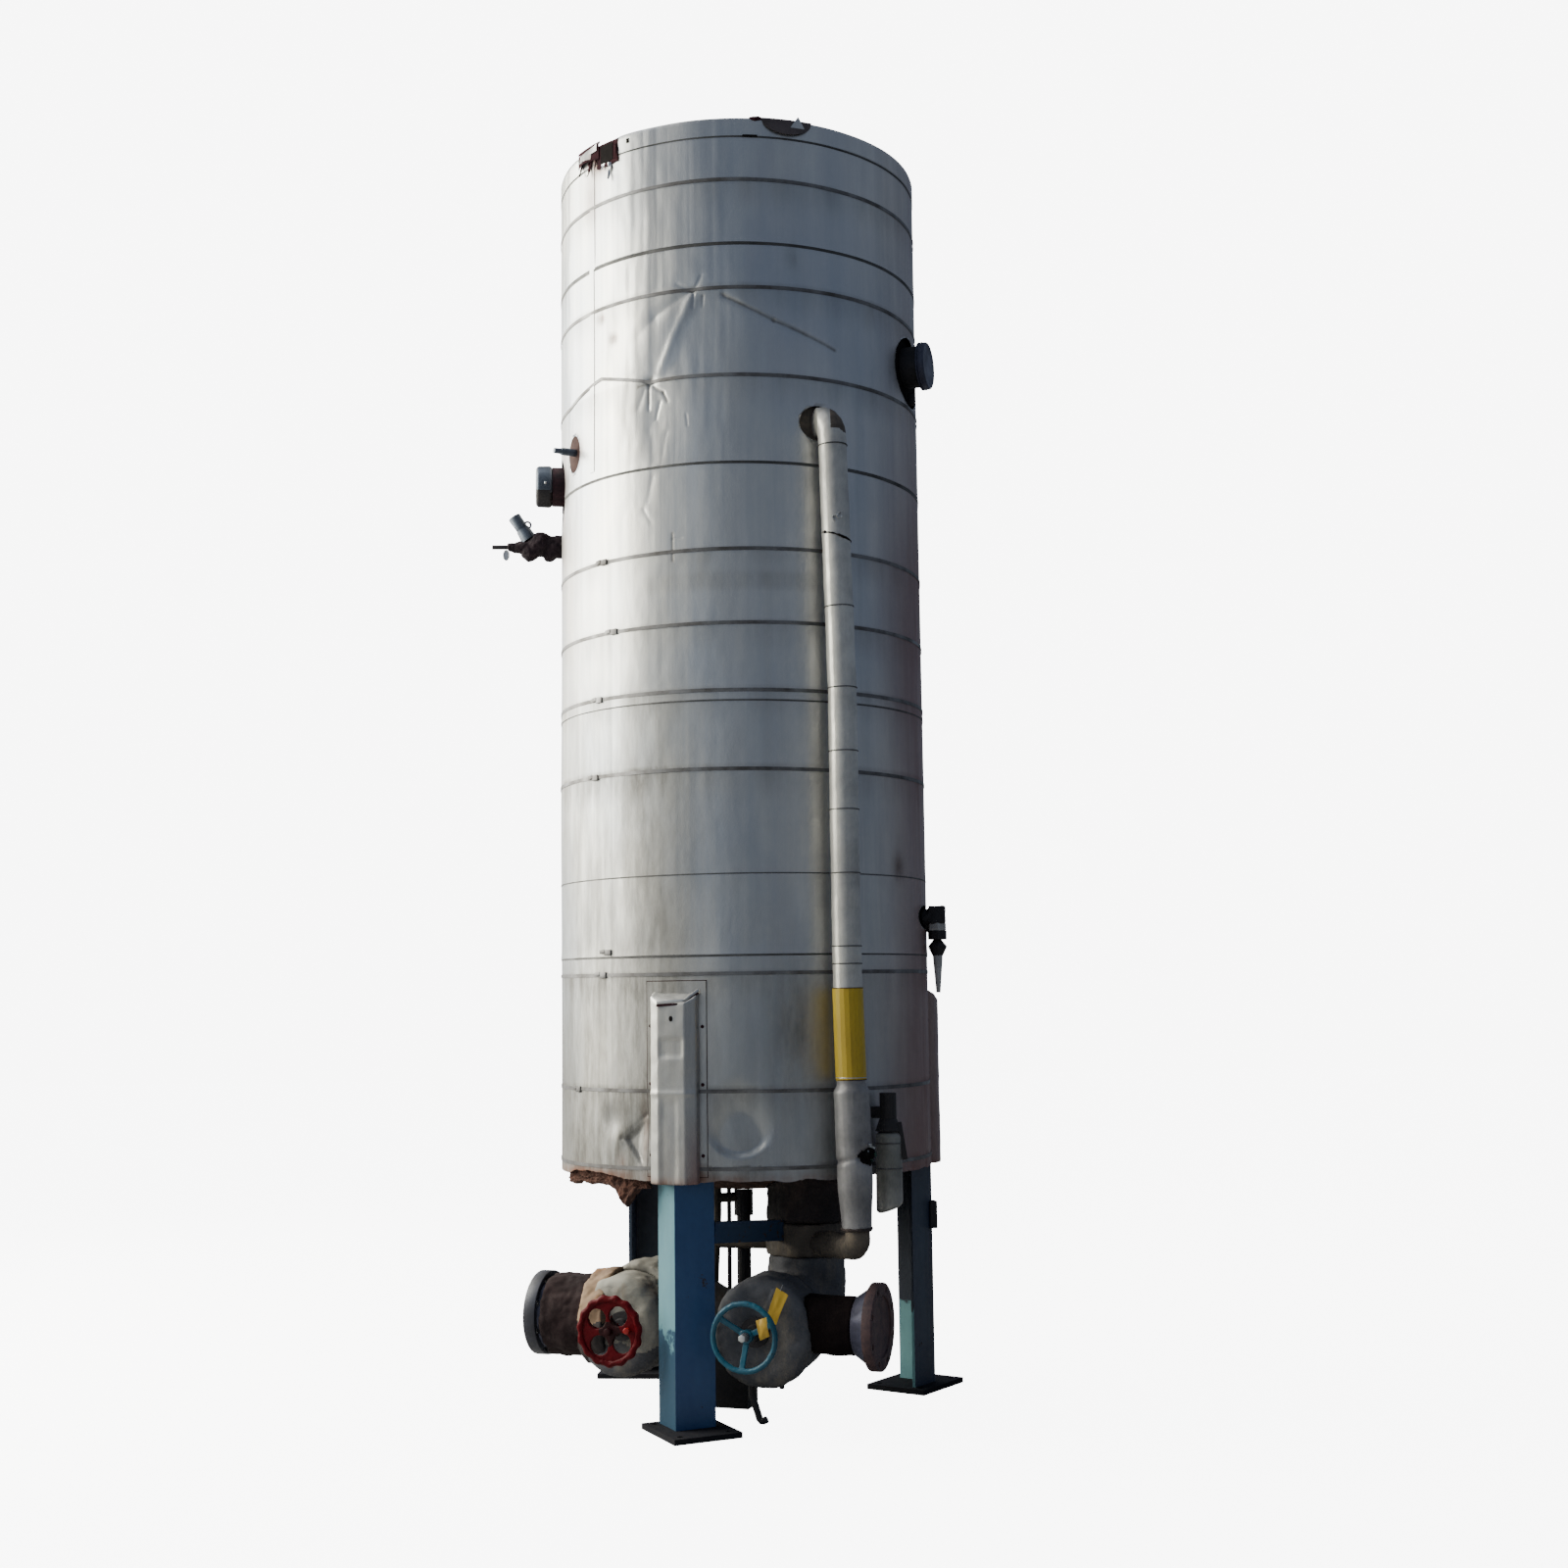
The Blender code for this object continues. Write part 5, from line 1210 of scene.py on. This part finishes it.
# right side: blind flange above, level valve below
def makeWell(key, look, depth=0.689):
    # what is seen through an opening in the sheet
    angle, height, wide, tall = openings[key]
    well = addTube(f"{key.replace(' ', '_')}_well", 1.0, 0.006, around(angle, depth, height), 36,
                   turn=pointing(outward(angle)))
    well.scale = (wide * 1.03, tall * 1.03, 1)
    settle(well)
    rounded(well, 0.002)
    complete(well, look)


rightFlange = {"angle": -20.0, "height": 3.955, "inner": 0.7590, "outer": 0.7918, "radius": 0.0915,
               "rims": (0.7600, 0.7700), "lug": (0.7180, 3.828)}


def makeRightFlange():
    angle, height, radius = rightFlange["angle"], rightFlange["height"], rightFlange["radius"]
    inner, outer = (around(angle, rightFlange[key], height) for key in ("inner", "outer"))
    disc = addCone("disc", radius, radius, inner, outer, 56)
    selectFacing(disc, outward(angle))
    bpy.ops.mesh.inset(thickness=0.018)
    bpy.ops.transform.translate(value=outward(angle) * -0.004)
    bpy.ops.mesh.inset(thickness=0.030)
    bpy.ops.object.mode_set(mode="OBJECT")
    rounded(disc, 0.009, 4, 40)
    rims = [addRing("rim", radius * 0.985, 0.0036, around(angle, reach, height), pointing(outward(angle)), 56, 8)
            for reach in rightFlange["rims"]]
    whole = merged("right_upper_flange", [disc, *rims])
    complete(whole, darkSteel, stands=("cap_right_upper",), smooth=40)
    lug = addBlock("right_upper_lug", (0.030, 0.018, 0.050), around(angle, *rightFlange["lug"]), turned(angle))
    rounded(lug, 0.006, 3)
    complete(lug, casting)


# radii and heights of what hangs under the valve, from the top down
levelValve = {"angle": -9.0, "reach": 0.7530, "crown": (0.064, 0.068, 0.068), "nut": (0.0380, 0.0380, 1.757, 1.788),
              "wedge": ((0.0370, 0.0375, 1.724, 1.758), (0.0385, 0.0150, 1.697, 1.726), (0.0210, 0.0385, 1.662, 1.698)),
              "spout": (0.0085, 0.0200, 1.5205, 1.665)}


def makeLevelValve():
    def at(height, out=0.0):
        return around(levelValve["angle"], levelValve["reach"] + out, height)

    def hung(name, size, sides):
        first, second, low, high = size
        return addCone(name, first, second, at(low), at(high), sides)
    top = merged("level_valve_top", [addBlock("crown", levelValve["crown"], at(1.8190), turned(levelValve["angle"])),
                                     addCone("arm", 0.034, 0.031, at(1.808, -0.06), at(1.810, 0.01))])
    lumpy(top, 0.0040, 0.0030, 0.02, 4, seed=2)
    complete(top, casting, stands=("level_valve_body",), smooth=60)
    nut = rounded(hung("level_valve_nut", levelValve["nut"], 6), 0.0040, 3)
    complete(nut, lightGrey)
    wedge = merged("level_valve_wedge", [rounded(hung("wedge", size, 8), 0.003, 2) for size in levelValve["wedge"]])
    complete(wedge, casting)
    tail = rounded(hung("level_valve_spout", levelValve["spout"], 24), 0.002)
    complete(tail, lightGrey, stands=("level_valve_tail",))


# painted shade in the openings round the right nozzles
makeWell("right upper", shadeInHoles)
makeWell("right lower", shadeInHoles)
# painted shadow: brown tape in the recess behind the vent's elbow
makeWell("vent", brownTapeAndShadow)
makeWell("left rod", ovalRust, 0.7045)
makeRightFlange()
makeLevelValve()


# level pot beside the vent line
levelPot = {"angle": -49.0, "reach": 0.774, "radius": 0.0482, "low": 0.734, "high": 1.029, "bands": (0.899, 0.988)}


def makeLevelPot():
    def at(height):
        return around(levelPot["angle"], levelPot["reach"], height)
    radius = levelPot["radius"]
    pot = addCone("level_pot_sleeve", radius, radius * 0.97, at(levelPot["low"]), at(levelPot["high"]), 44)
    settle(pot)
    bpy.ops.object.mode_set(mode="EDIT")
    bpy.ops.mesh.select_all(action="SELECT")
    bpy.ops.mesh.bisect(plane_co=at(0.752), plane_no=(0.31, 0, -0.95), use_fill=True, clear_outer=True)
    bpy.ops.object.mode_set(mode="OBJECT")
    rounded(pot, 0.020, 5, 50)
    complete(pot, potLagging, stands=("level_pot",), smooth=40)
    for number, height in enumerate(levelPot["bands"], start=1):
        band = addRing(f"level_pot_band_{number}", radius * 0.985 + 0.0005, 0.0024, at(height), sides=44)
        complete(band, strapMetal)
    shoulder = rounded(addCone("level_pot_shoulder", radius * 0.99, 0.031, at(1.0295), at(1.074), 36), 0.003)
    complete(shoulder, casting)
    # painted shadow: a dark bar down the pot's right side, where the jacket bracket's shadow falls
    low, high = at(0.930) + Vector((0.056, -0.016, 0)), at(1.062) + Vector((0.036, -0.020, 0))
    bar = rounded(addBar("level_pot_shadow_bar", 0.005, 0.020, low, high), 0.0012)
    complete(bar, casting)


makeLevelPot()


# vent line: lagged pipe in lengths, torn open near its foot
ventLine = {"x": ((3.70, 0.334), (3.615, 0.336), (2.620, 0.360), (1.560, 0.362), (0.700, 0.382)), "depth": -0.722,
            "joints": (3.506, 3.166, 2.909, 2.613, 2.384, 2.174, 1.947, 1.688, 1.626), "round": 0.0528,
            "loose": 2, "edges": (1.2195, 1.2270, 1.5400), "stained": 1.218, "pinch": 0.950, "torn": 0.957}
# sideways, height, size, finish and seed of each torn scrap
ventScraps = ((0.052, 1.000, 0.030, paleMetal, 1), (0.066, 0.990, 0.026, paleMetal, 2),
              (0.060, 0.945, 0.022, mossGreen, 3), (0.034, 0.966, 0.026, paleMetal, 4),
              (0.045, 0.930, 0.020, mossGreen, 5), (0.072, 0.960, 0.022, mossGreen, 6),
              (-0.012, 3.222, 0.030, paleMetal, 7), (0.006, 3.228, 0.032, paleMetal, 8))


def onVent(height):
    line = ventLine["x"]
    for (high, first), (low, second) in zip(line, line[1:]):
        if height >= low:
            x = first + (second - first) * (high - height) / (high - low)
            return Vector((axisX + x, axisY + ventLine["depth"], height))
    return Vector((axisX + line[-1][1], axisY + ventLine["depth"], height))


def makeVent():
    sleeve = copyOf("vent_pipe", "vent_sleeve")
    lumpy(sleeve, 0.0055, 0.0012, 0.07, 2, seed=6)
    for vertex in sleeve.data.vertices:
        if vertex.co.z > 3.45:
            leftmost = onVent(min(vertex.co.z, 3.6)).x - 0.0530
            vertex.co.x = max(vertex.co.x, leftmost + 0.25 * min(0.0, vertex.co.x - leftmost))
        if vertex.co.z < 1.25:
            middle = onVent(vertex.co.z)
            side = (vertex.co - middle).normalized()
            pinch = 0.006 * exp(-((vertex.co.z - ventLine["pinch"] - 0.016 * side.x) / 0.009) ** 2)
            torn = 0.016 * softly(1 - abs(vertex.co.z - ventLine["torn"]) / 0.040)
            torn = torn * softly((side.x * 0.8 - side.y * 0.6 - 0.60) / 0.4)
            swell = 0.003 * softly((0.93 - vertex.co.z) / 0.08) * softly((vertex.co.z - 0.73) / 0.10)
            vertex.co += side * (swell - pinch - torn)
    complete(sleeve, lagging, stands=("vent_pipe",), smooth=70)
    secondLook(sleeve, stainedLagging, lambda face: face.center.z < ventLine["stained"])
    sleeve.data.materials.append(brownTapeAndShadow)
    for face in sleeve.data.polygons:           # painted shadow: brown tape on the outer bend of the top elbow
        if face.center.z > 3.555 + 0.02 * noise.noise(face.center * 30) and face.center.x > onVent(3.6).x - 0.004:
            face.material_index = 2
    for number, height in enumerate(ventLine["joints"], start=1):
        loose = number == ventLine["loose"]     # one joint has come open
        way = onVent(height + 0.05) - onVent(height - 0.05)
        way.x += 0.034 if loose else 0.0
        joint = addRing(f"vent_joint_{number}", ventLine["round"], 0.0042 if loose else 0.0022, onVent(height),
                        pointing(way), 40, 6)
        if loose:
            lumpy(joint, 0.0028, 0.003, 0.02, 1, seed=4)
        # painted shade in the joint that has come open
        complete(joint, shadeInHoles if loose else darkSeam)
    for number, height in enumerate(ventLine["edges"], start=1):
        edge = addRing(f"marker_edge_{number}", 0.0538, 0.0016, onVent(height), sides=40, round=6)
        complete(edge, paleMetal if number == 2 else tornEdgeAndShadow)
    collar = addRing("vent_foot_band", 0.0500, 0.0065, onVent(0.7035), sides=40, round=8)
    complete(lumpy(collar, 0.0035, 0.003, 0.03, 2, seed=9), darkWrap, smooth=70)
    # painted shade: the wool in the tear is near black
    hole = addBall("vent_torn_wool", 0.040, onVent(ventLine["torn"]) + Vector((0.026, -0.022, 0)), (1.05, 0.8, 1.05))
    settle(hole)
    complete(lumpy(hole, 0.0032, 0.012, 0.018, 1, seed=12), shadeInHoles, smooth=70)
    for number, (x, height, size, look, seed) in enumerate(ventScraps, start=1):
        place = onVent(height) + Vector((x, -0.058 + max(0.0, x) * 0.40, 0))
        makeFlake(f"vent_scrap_{number}", place, (size * 0.8, size), (pi / 2 + 0.35, 0.3 * seed, 0.5 - 0.35 * seed),
                  look, 0.38, 0.6, 0.3, seed)


makeVent()
print("fittings and vent line are on")


# suction flanges: drilled, with a recessed face
flanges = {"left": (-0.652, -1, 0.0450), "right": (0.672, 1, 0.0340)}
drilling = {"holes": 8, "circle": 0.131, "radius": 0.0105, "y": -0.460, "z": 0.358, "flare": 0.140}


def makeFlange(side):
    face, way, thick = flanges[side]
    piece = copyOf(f"flange_{side}", f"suction_flange_{side}")
    axis = alongPiping
    centre = inPiping(face, drilling["y"], drilling["z"])
    for vertex in piece.data.vertices:
        along = (vertex.co - centre).dot(axis)
        out = vertex.co - centre - axis * along
        if side == "right" and 0.110 < out.length < 0.125:      # the ring where its hub meets the disc
            vertex.co += out * (drilling["flare"] / out.length - 1)
    drills = []
    for number in range(drilling["holes"]):
        turn = 2 * pi * (number + 0.5) / drilling["holes"]
        across, up = drilling["circle"] * cos(turn), drilling["circle"] * sin(turn)
        middle = inPiping(face - way * thick / 2, drilling["y"] + across, drilling["z"] + up)
        drills.append(addTube("drill", drilling["radius"], thick * 1.3, middle, 20, turn=pointing(axis)))
    drill = merged("drills", drills)
    carve(piece, drill)
    discard(drill)
    rounded(piece, 0.0030, 2, 50)
    complete(piece, rimSteel if side == "left" else flangeSteel, stands=(f"flange_{side}",))
    back = inPiping(face - way * (thick + 0.002), 0, 0)
    secondLook(piece, darkSteel, lambda polygon: (polygon.center - back).dot(axis * way) < 0)


for side in flanges:
    makeFlange(side)


# handwheels, cast and chipped
wheels = {"left": {"x": -0.258, "z": 0.345, "rim": 0.104, "look": wheelRed, "slot": "wheel_red", "lobes": 15,
                   "lobe": 0.0030, "holes": (57, 139, 233, 321), "circle": 0.063, "drill": 0.0350, "plate": 0.100},
          "right": {"x": 0.249, "z": 0.345, "rim": 0.104, "look": wheelBlue, "slot": "wheel_blue", "lobes": 0,
                    "lobe": 0.0, "holes": ()}}


def makeWheel(side):
    facts = wheels[side]
    wheel = copyOf(f"handwheel_{side}", f"cast_wheel_{side}")
    across = alongPiping

    def at(depth):
        return inPiping(facts["x"], depth, facts["z"])
    middle = at(-0.717)
    if facts["holes"]:
        plate = settle(addCone("plate", facts["plate"], facts["plate"], at(-0.711), at(-0.722), 56))
        drills, through = [], outward(legAngles["front"]) * 0.03
        for turn in facts["holes"]:
            spot = middle + across * facts["circle"] * cos(radians(turn))
            spot = spot + Vector((0, 0, facts["circle"] * sin(radians(turn))))
            drills.append(addCone("hole", facts["drill"], facts["drill"], spot - through, spot + through, 28))
        drill = merged("drill", drills)
        carve(plate, drill)
        carve(wheel, drill)
        discard(drill)
        wheel = merged(f"cast_wheel_{side}", [wheel, plate])
    lumpy(wheel, 0.0024, 0.0009, 0.02, 2, seed=7)
    for vertex in wheel.data.vertices:
        offset = vertex.co - middle
        x, z = offset.dot(across), offset.z
        reach = hypot(x, z)
        if facts["lobes"] and reach > facts["rim"]:
            grow = facts["lobe"] * sin(facts["lobes"] * atan2(z, x)) * softly((reach - facts["rim"]) / 0.012)
            vertex.co += (across * x + Vector((0, 0, z))) / reach * (grow - facts["lobe"])
    complete(wheel, facts["look"], f"wheel_{side}", (f"handwheel_{side}",), 60)
    if facts["holes"]:
        secondLook(wheel, wheelHub,
                   lambda face: (face.center - middle).length < 0.040 + 0.02 * noise.noise(face.center * 30))
    nut = rounded(addCone(f"wheel_nut_{side}", 0.0150, 0.0140, at(-0.716), at(-0.741), 6), 0.002)
    complete(nut, paleMetal if side == "right" else wheelHub, f"wheel_{side}")


for side in wheels:
    makeWheel(side)
# the knob takes the painted highlight
knob = addCone("wheel_knob_left", 0.0095, 0.0110, inPiping(-0.186, -0.722, 0.352), inPiping(-0.178, -0.756, 0.354), 20)
rounded(knob, 0.003, 3)
complete(knob, knobRedHighlight, "wheel_left")


# blank tags
def makeTag(name, corners, depth, look, body, slot):
    bpy.ops.object.select_all(action="DESELECT")
    bpy.ops.mesh.primitive_grid_add(x_subdivisions=10, y_subdivisions=14, size=1)
    tag = called(name)
    (ax, az), (bx, bz), (cx, cz), (dx, dz) = corners
    for vertex in tag.data.vertices:
        u, v = vertex.co.x + 0.5, 0.5 - vertex.co.y
        top, low = (ax + (bx - ax) * u, az + (bz - az) * u), (dx + (cx - dx) * u, dz + (cz - dz) * u)
        bow = 0.006 * sin(pi * v) + 0.003 * noise.noise(Vector((u * 3, v * 3, depth * 9)))
        vertex.co = inPiping(top[0] + (low[0] - top[0]) * v, depth - bow, top[1] + (low[1] - top[1]) * v)
    thicken(tag, 0.0012, inward=False)
    rounded(tag, 0.0004, 1, 60)
    complete(tag, look, body)


# corners by x and z in the piping's directions, depth, finish, body, slot
tags = {"valve_tag": (((0.337, 0.505), (0.380, 0.480), (0.334, 0.376), (0.298, 0.396)), -0.622,
                      tagYellow, "skid", "marker_yellow"),
        "valve_tag_sleeve": (((0.318, 0.497), (0.345, 0.500), (0.316, 0.420), (0.284, 0.436)), -0.618,
                             greyWrap, "skid", "valve_wrap"),
        "wheel_tag": (((0.302, 0.408), (0.340, 0.421), (0.351, 0.358), (0.317, 0.342)), -0.738,
                      tagYellow, "wheel_right", "marker_yellow")}
for name, facts in tags.items():
    makeTag(name, *facts)
tie = addCone("tag_tie", 0.0012, 0.0012, inPiping(0.352, -0.600, 0.512), inPiping(0.352, -0.626, 0.494), 8)
complete(tie, paleMetal)
bolt = addCone("valve_drain_plug", 0.0120, 0.0100, inPiping(0.316, -0.520, 0.172), inPiping(0.320, -0.530, 0.142), 6)
rounded(bolt, 0.002)
complete(bolt, casting)
print("valves have their wheels and tags")


# front leg: painted light on the left flange, which faces the lamp, down to a ragged line, with painted shadow below it
def litAndShadedFinish(name, line, above, under):
    # two tones of paint that meet at a ragged line: painted light on one side and painted shadow on the other
    look, tree, shader, coords = newFinish(name, 0.62)
    shader.inputs["Specular IOR Level"].default_value = 0.15
    height = tree.nodes.new("ShaderNodeSeparateXYZ")
    tree.links.new(coords, height.inputs[0])
    ragged = between(tree, clouds(tree, coords, 16, 6, 0.6), 0.3, 0.7, -0.055, 0.055)
    ragged = reckon(tree, "ADD", height.outputs["Z"], ragged)
    patches = clouds(tree, stretched(tree, coords, (7, 7, 3)), 1.0, 6, 0.6)
    top, low = (blended(tree, between(tree, patches, 0.35, 0.65), *tones) for tones in (above, under))
    base = blended(tree, between(tree, ragged, line - 0.01, line + 0.01), low, top)
    base = blended(tree, between(tree, clouds(tree, coords, 30, 8, 0.7), 0.68, 0.70), base, (0.030, 0.022, 0.020))
    wire(tree, base, shader.inputs["Base Color"])
    embossed(tree, shader, clouds(tree, coords, 60, 4), 0.0006, 0.3)
    return look


# painted light above the line and painted shadow below it, on the front leg's left flange
legSunlitFace = litAndShadedFinish("leg paint, lit above and in painted shadow below", 0.335, ((0.115, 0.235, 0.275), (0.085, 0.190, 0.240)),
                       ((0.020, 0.055, 0.095), (0.016, 0.045, 0.080)))
# painted shadow above the line and painted light below it, on the right leg's left face
rightLegShadowedFace = litAndShadedFinish("right leg face, painted shadow above and light below", 0.315, ((0.012, 0.016, 0.028), (0.020, 0.028, 0.045)),
                      ((0.105, 0.230, 0.250), (0.060, 0.150, 0.180)))
frontLeg = copyOf("leg_front", "front_leg_steel")
complete(frontLeg, legBlue, stands=("leg_front",))
leftward = outward(legAngles["front"] - 45)    # the faces of the legs' left flanges
# the faces turned towards the lamp take the painted light and shadow
secondLook(frontLeg, legSunlitFace, lambda face: face.normal.dot(leftward) > 0.9)
rightLeg = copyOf("leg_right", "right_leg_steel")
# the right leg takes the leg paint in painted shade
complete(rightLeg, legBlueInShade, stands=("leg_right",))
# the right leg's left face takes the painted shadow and light
secondLook(rightLeg, rightLegShadowedFace, lambda face: face.normal.dot(outward(-125.4)) > 0.9)
angle = legAngles["right"]
clip = rounded(addBlock("right_leg_clip", (0.030, 0.044, 0.106), around(angle, 0.7360, 0.657), turned(angle)), 0.004, 3)
complete(clip, casting)
print("legs are painted")


# torn corner at the upper left: dark hole, pale bent sheet and hanging shards
def holeEdge(u, v):
    wave = 0.5 + 0.5 * noise.noise(Vector((u * 4, v * 4, 1.7)))
    return u + 0.10 * (wave - 0.5), v + 0.16 * (wave - 0.5) * (1 - v), 0.0


def lugEdge(u, v):
    return u, v * (0.82 + 0.18 * u) + 0.18 * (1 - u) * 0.5 * (1 - v), 0.004 + 0.020 * (1 - v) * (1 - abs(2 * u - 1))


def flapEdge(u, v):
    # the lower border is a half round
    sag = (1 - min(1.0, abs(2 * u - 1)) ** 2) ** 0.5
    return u, 1 - (1 - v) * max(0.05, sag), 0.010 * sag * (1 - v)


makePatch("torn_hole", -138.0, -129.0, 4.664, 4.756, 0.0030, 0.0012, tornEdgeAndShadow, holeEdge)
# painted shade in the torn hole of the top
makePatch("torn_hole_middle", -136.2, -131.0, 4.678, 4.748, 0.0048, 0.0010, shadeInHoles, holeEdge)
for name, lift, thick, look, edge in (
        ("torn_corner", 0.0030, 0.0012, tornEdgeAndShadow, lugEdge),
        ("torn_corner_face", 0.0048, 0.0012, sheet,
         lambda u, v: lugEdge(0.14 + 0.60 * u, 0.30 + 0.54 * v - 0.2 * u * (1 - v))),
        ("torn_corner_glint", 0.0066, 0.0010, paleMetal,
         lambda u, v: lugEdge(0.70 + 0.24 * u, 0.42 + 0.40 * v + 0.1 * u))):
    makePatch(name, -148.5, -137.0, 4.702, 4.772, lift, thick, look, edge)
makePatch("torn_corner_lip", -148.8, -136.6, 4.764, 4.773, 0.0055, 0.0016, tornEdgeAndShadow, None, 20, 3)
for number, (angle, height, wide, long, curl, look) in enumerate((
        (-146.6, 4.722, 0.016, 0.050, 0.25, tornEdgeAndShadow), (-141.8, 4.712, 0.030, 0.062, 0.20, tornEdgeAndShadow),
        (-138.6, 4.716, 0.018, 0.044, 0.15, tornEdgeAndShadow), (-132.3, 4.672, 0.022, 0.068, 0.12, sheet),
        (-135.2, 4.676, 0.020, 0.026, 0.35, sheet), (-129.6, 4.735, 0.014, 0.060, 0.10, tornEdgeAndShadow)), start=1):
    makeFlake(f"torn_shard_{number}", around(angle, 0.7175, height), (wide, long), pointing(outward(angle)), look,
              0.10, 0.92, curl, number * 1.7)
# painted shade in a nick and along a seam of the top
makePatch("cap_nick", -125.6, -124.6, 4.724, 4.742, 0.0025, 0.0008, shadeInHoles, holeEdge, 6, 6)
makePatch("cap_dark_seam", -88.2, -83.8, 4.688, 4.697, 0.0030, 0.0008, shadeInHoles, holeEdge, 12, 4)

# and at the top right: a dark bump and a curled flap
bump = addBall("cap_bump", 0.030, around(-84.2, 0.7020, 4.7605), (1.0, 0.55, 0.40), turned(6))
settle(bump)
complete(lumpy(bump, 0.003, 0.003, 0.02, 1, seed=3), tornEdgeAndShadow, smooth=60)
makePatch("cap_flap", -82.5, -66.8, 4.704, 4.765, 0.0030, 0.0012, flapBrown, flapEdge)
makePatch("cap_flap_tip", -73.5, -69.0, 4.734, 4.7735, 0.0080, 0.0012, sheet,
          lambda u, v: (0.45 + (u - 0.5) * (1 - 0.92 * v), v, 0.008 * v), 8, 8)
print("torn corners are done")

low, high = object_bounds()
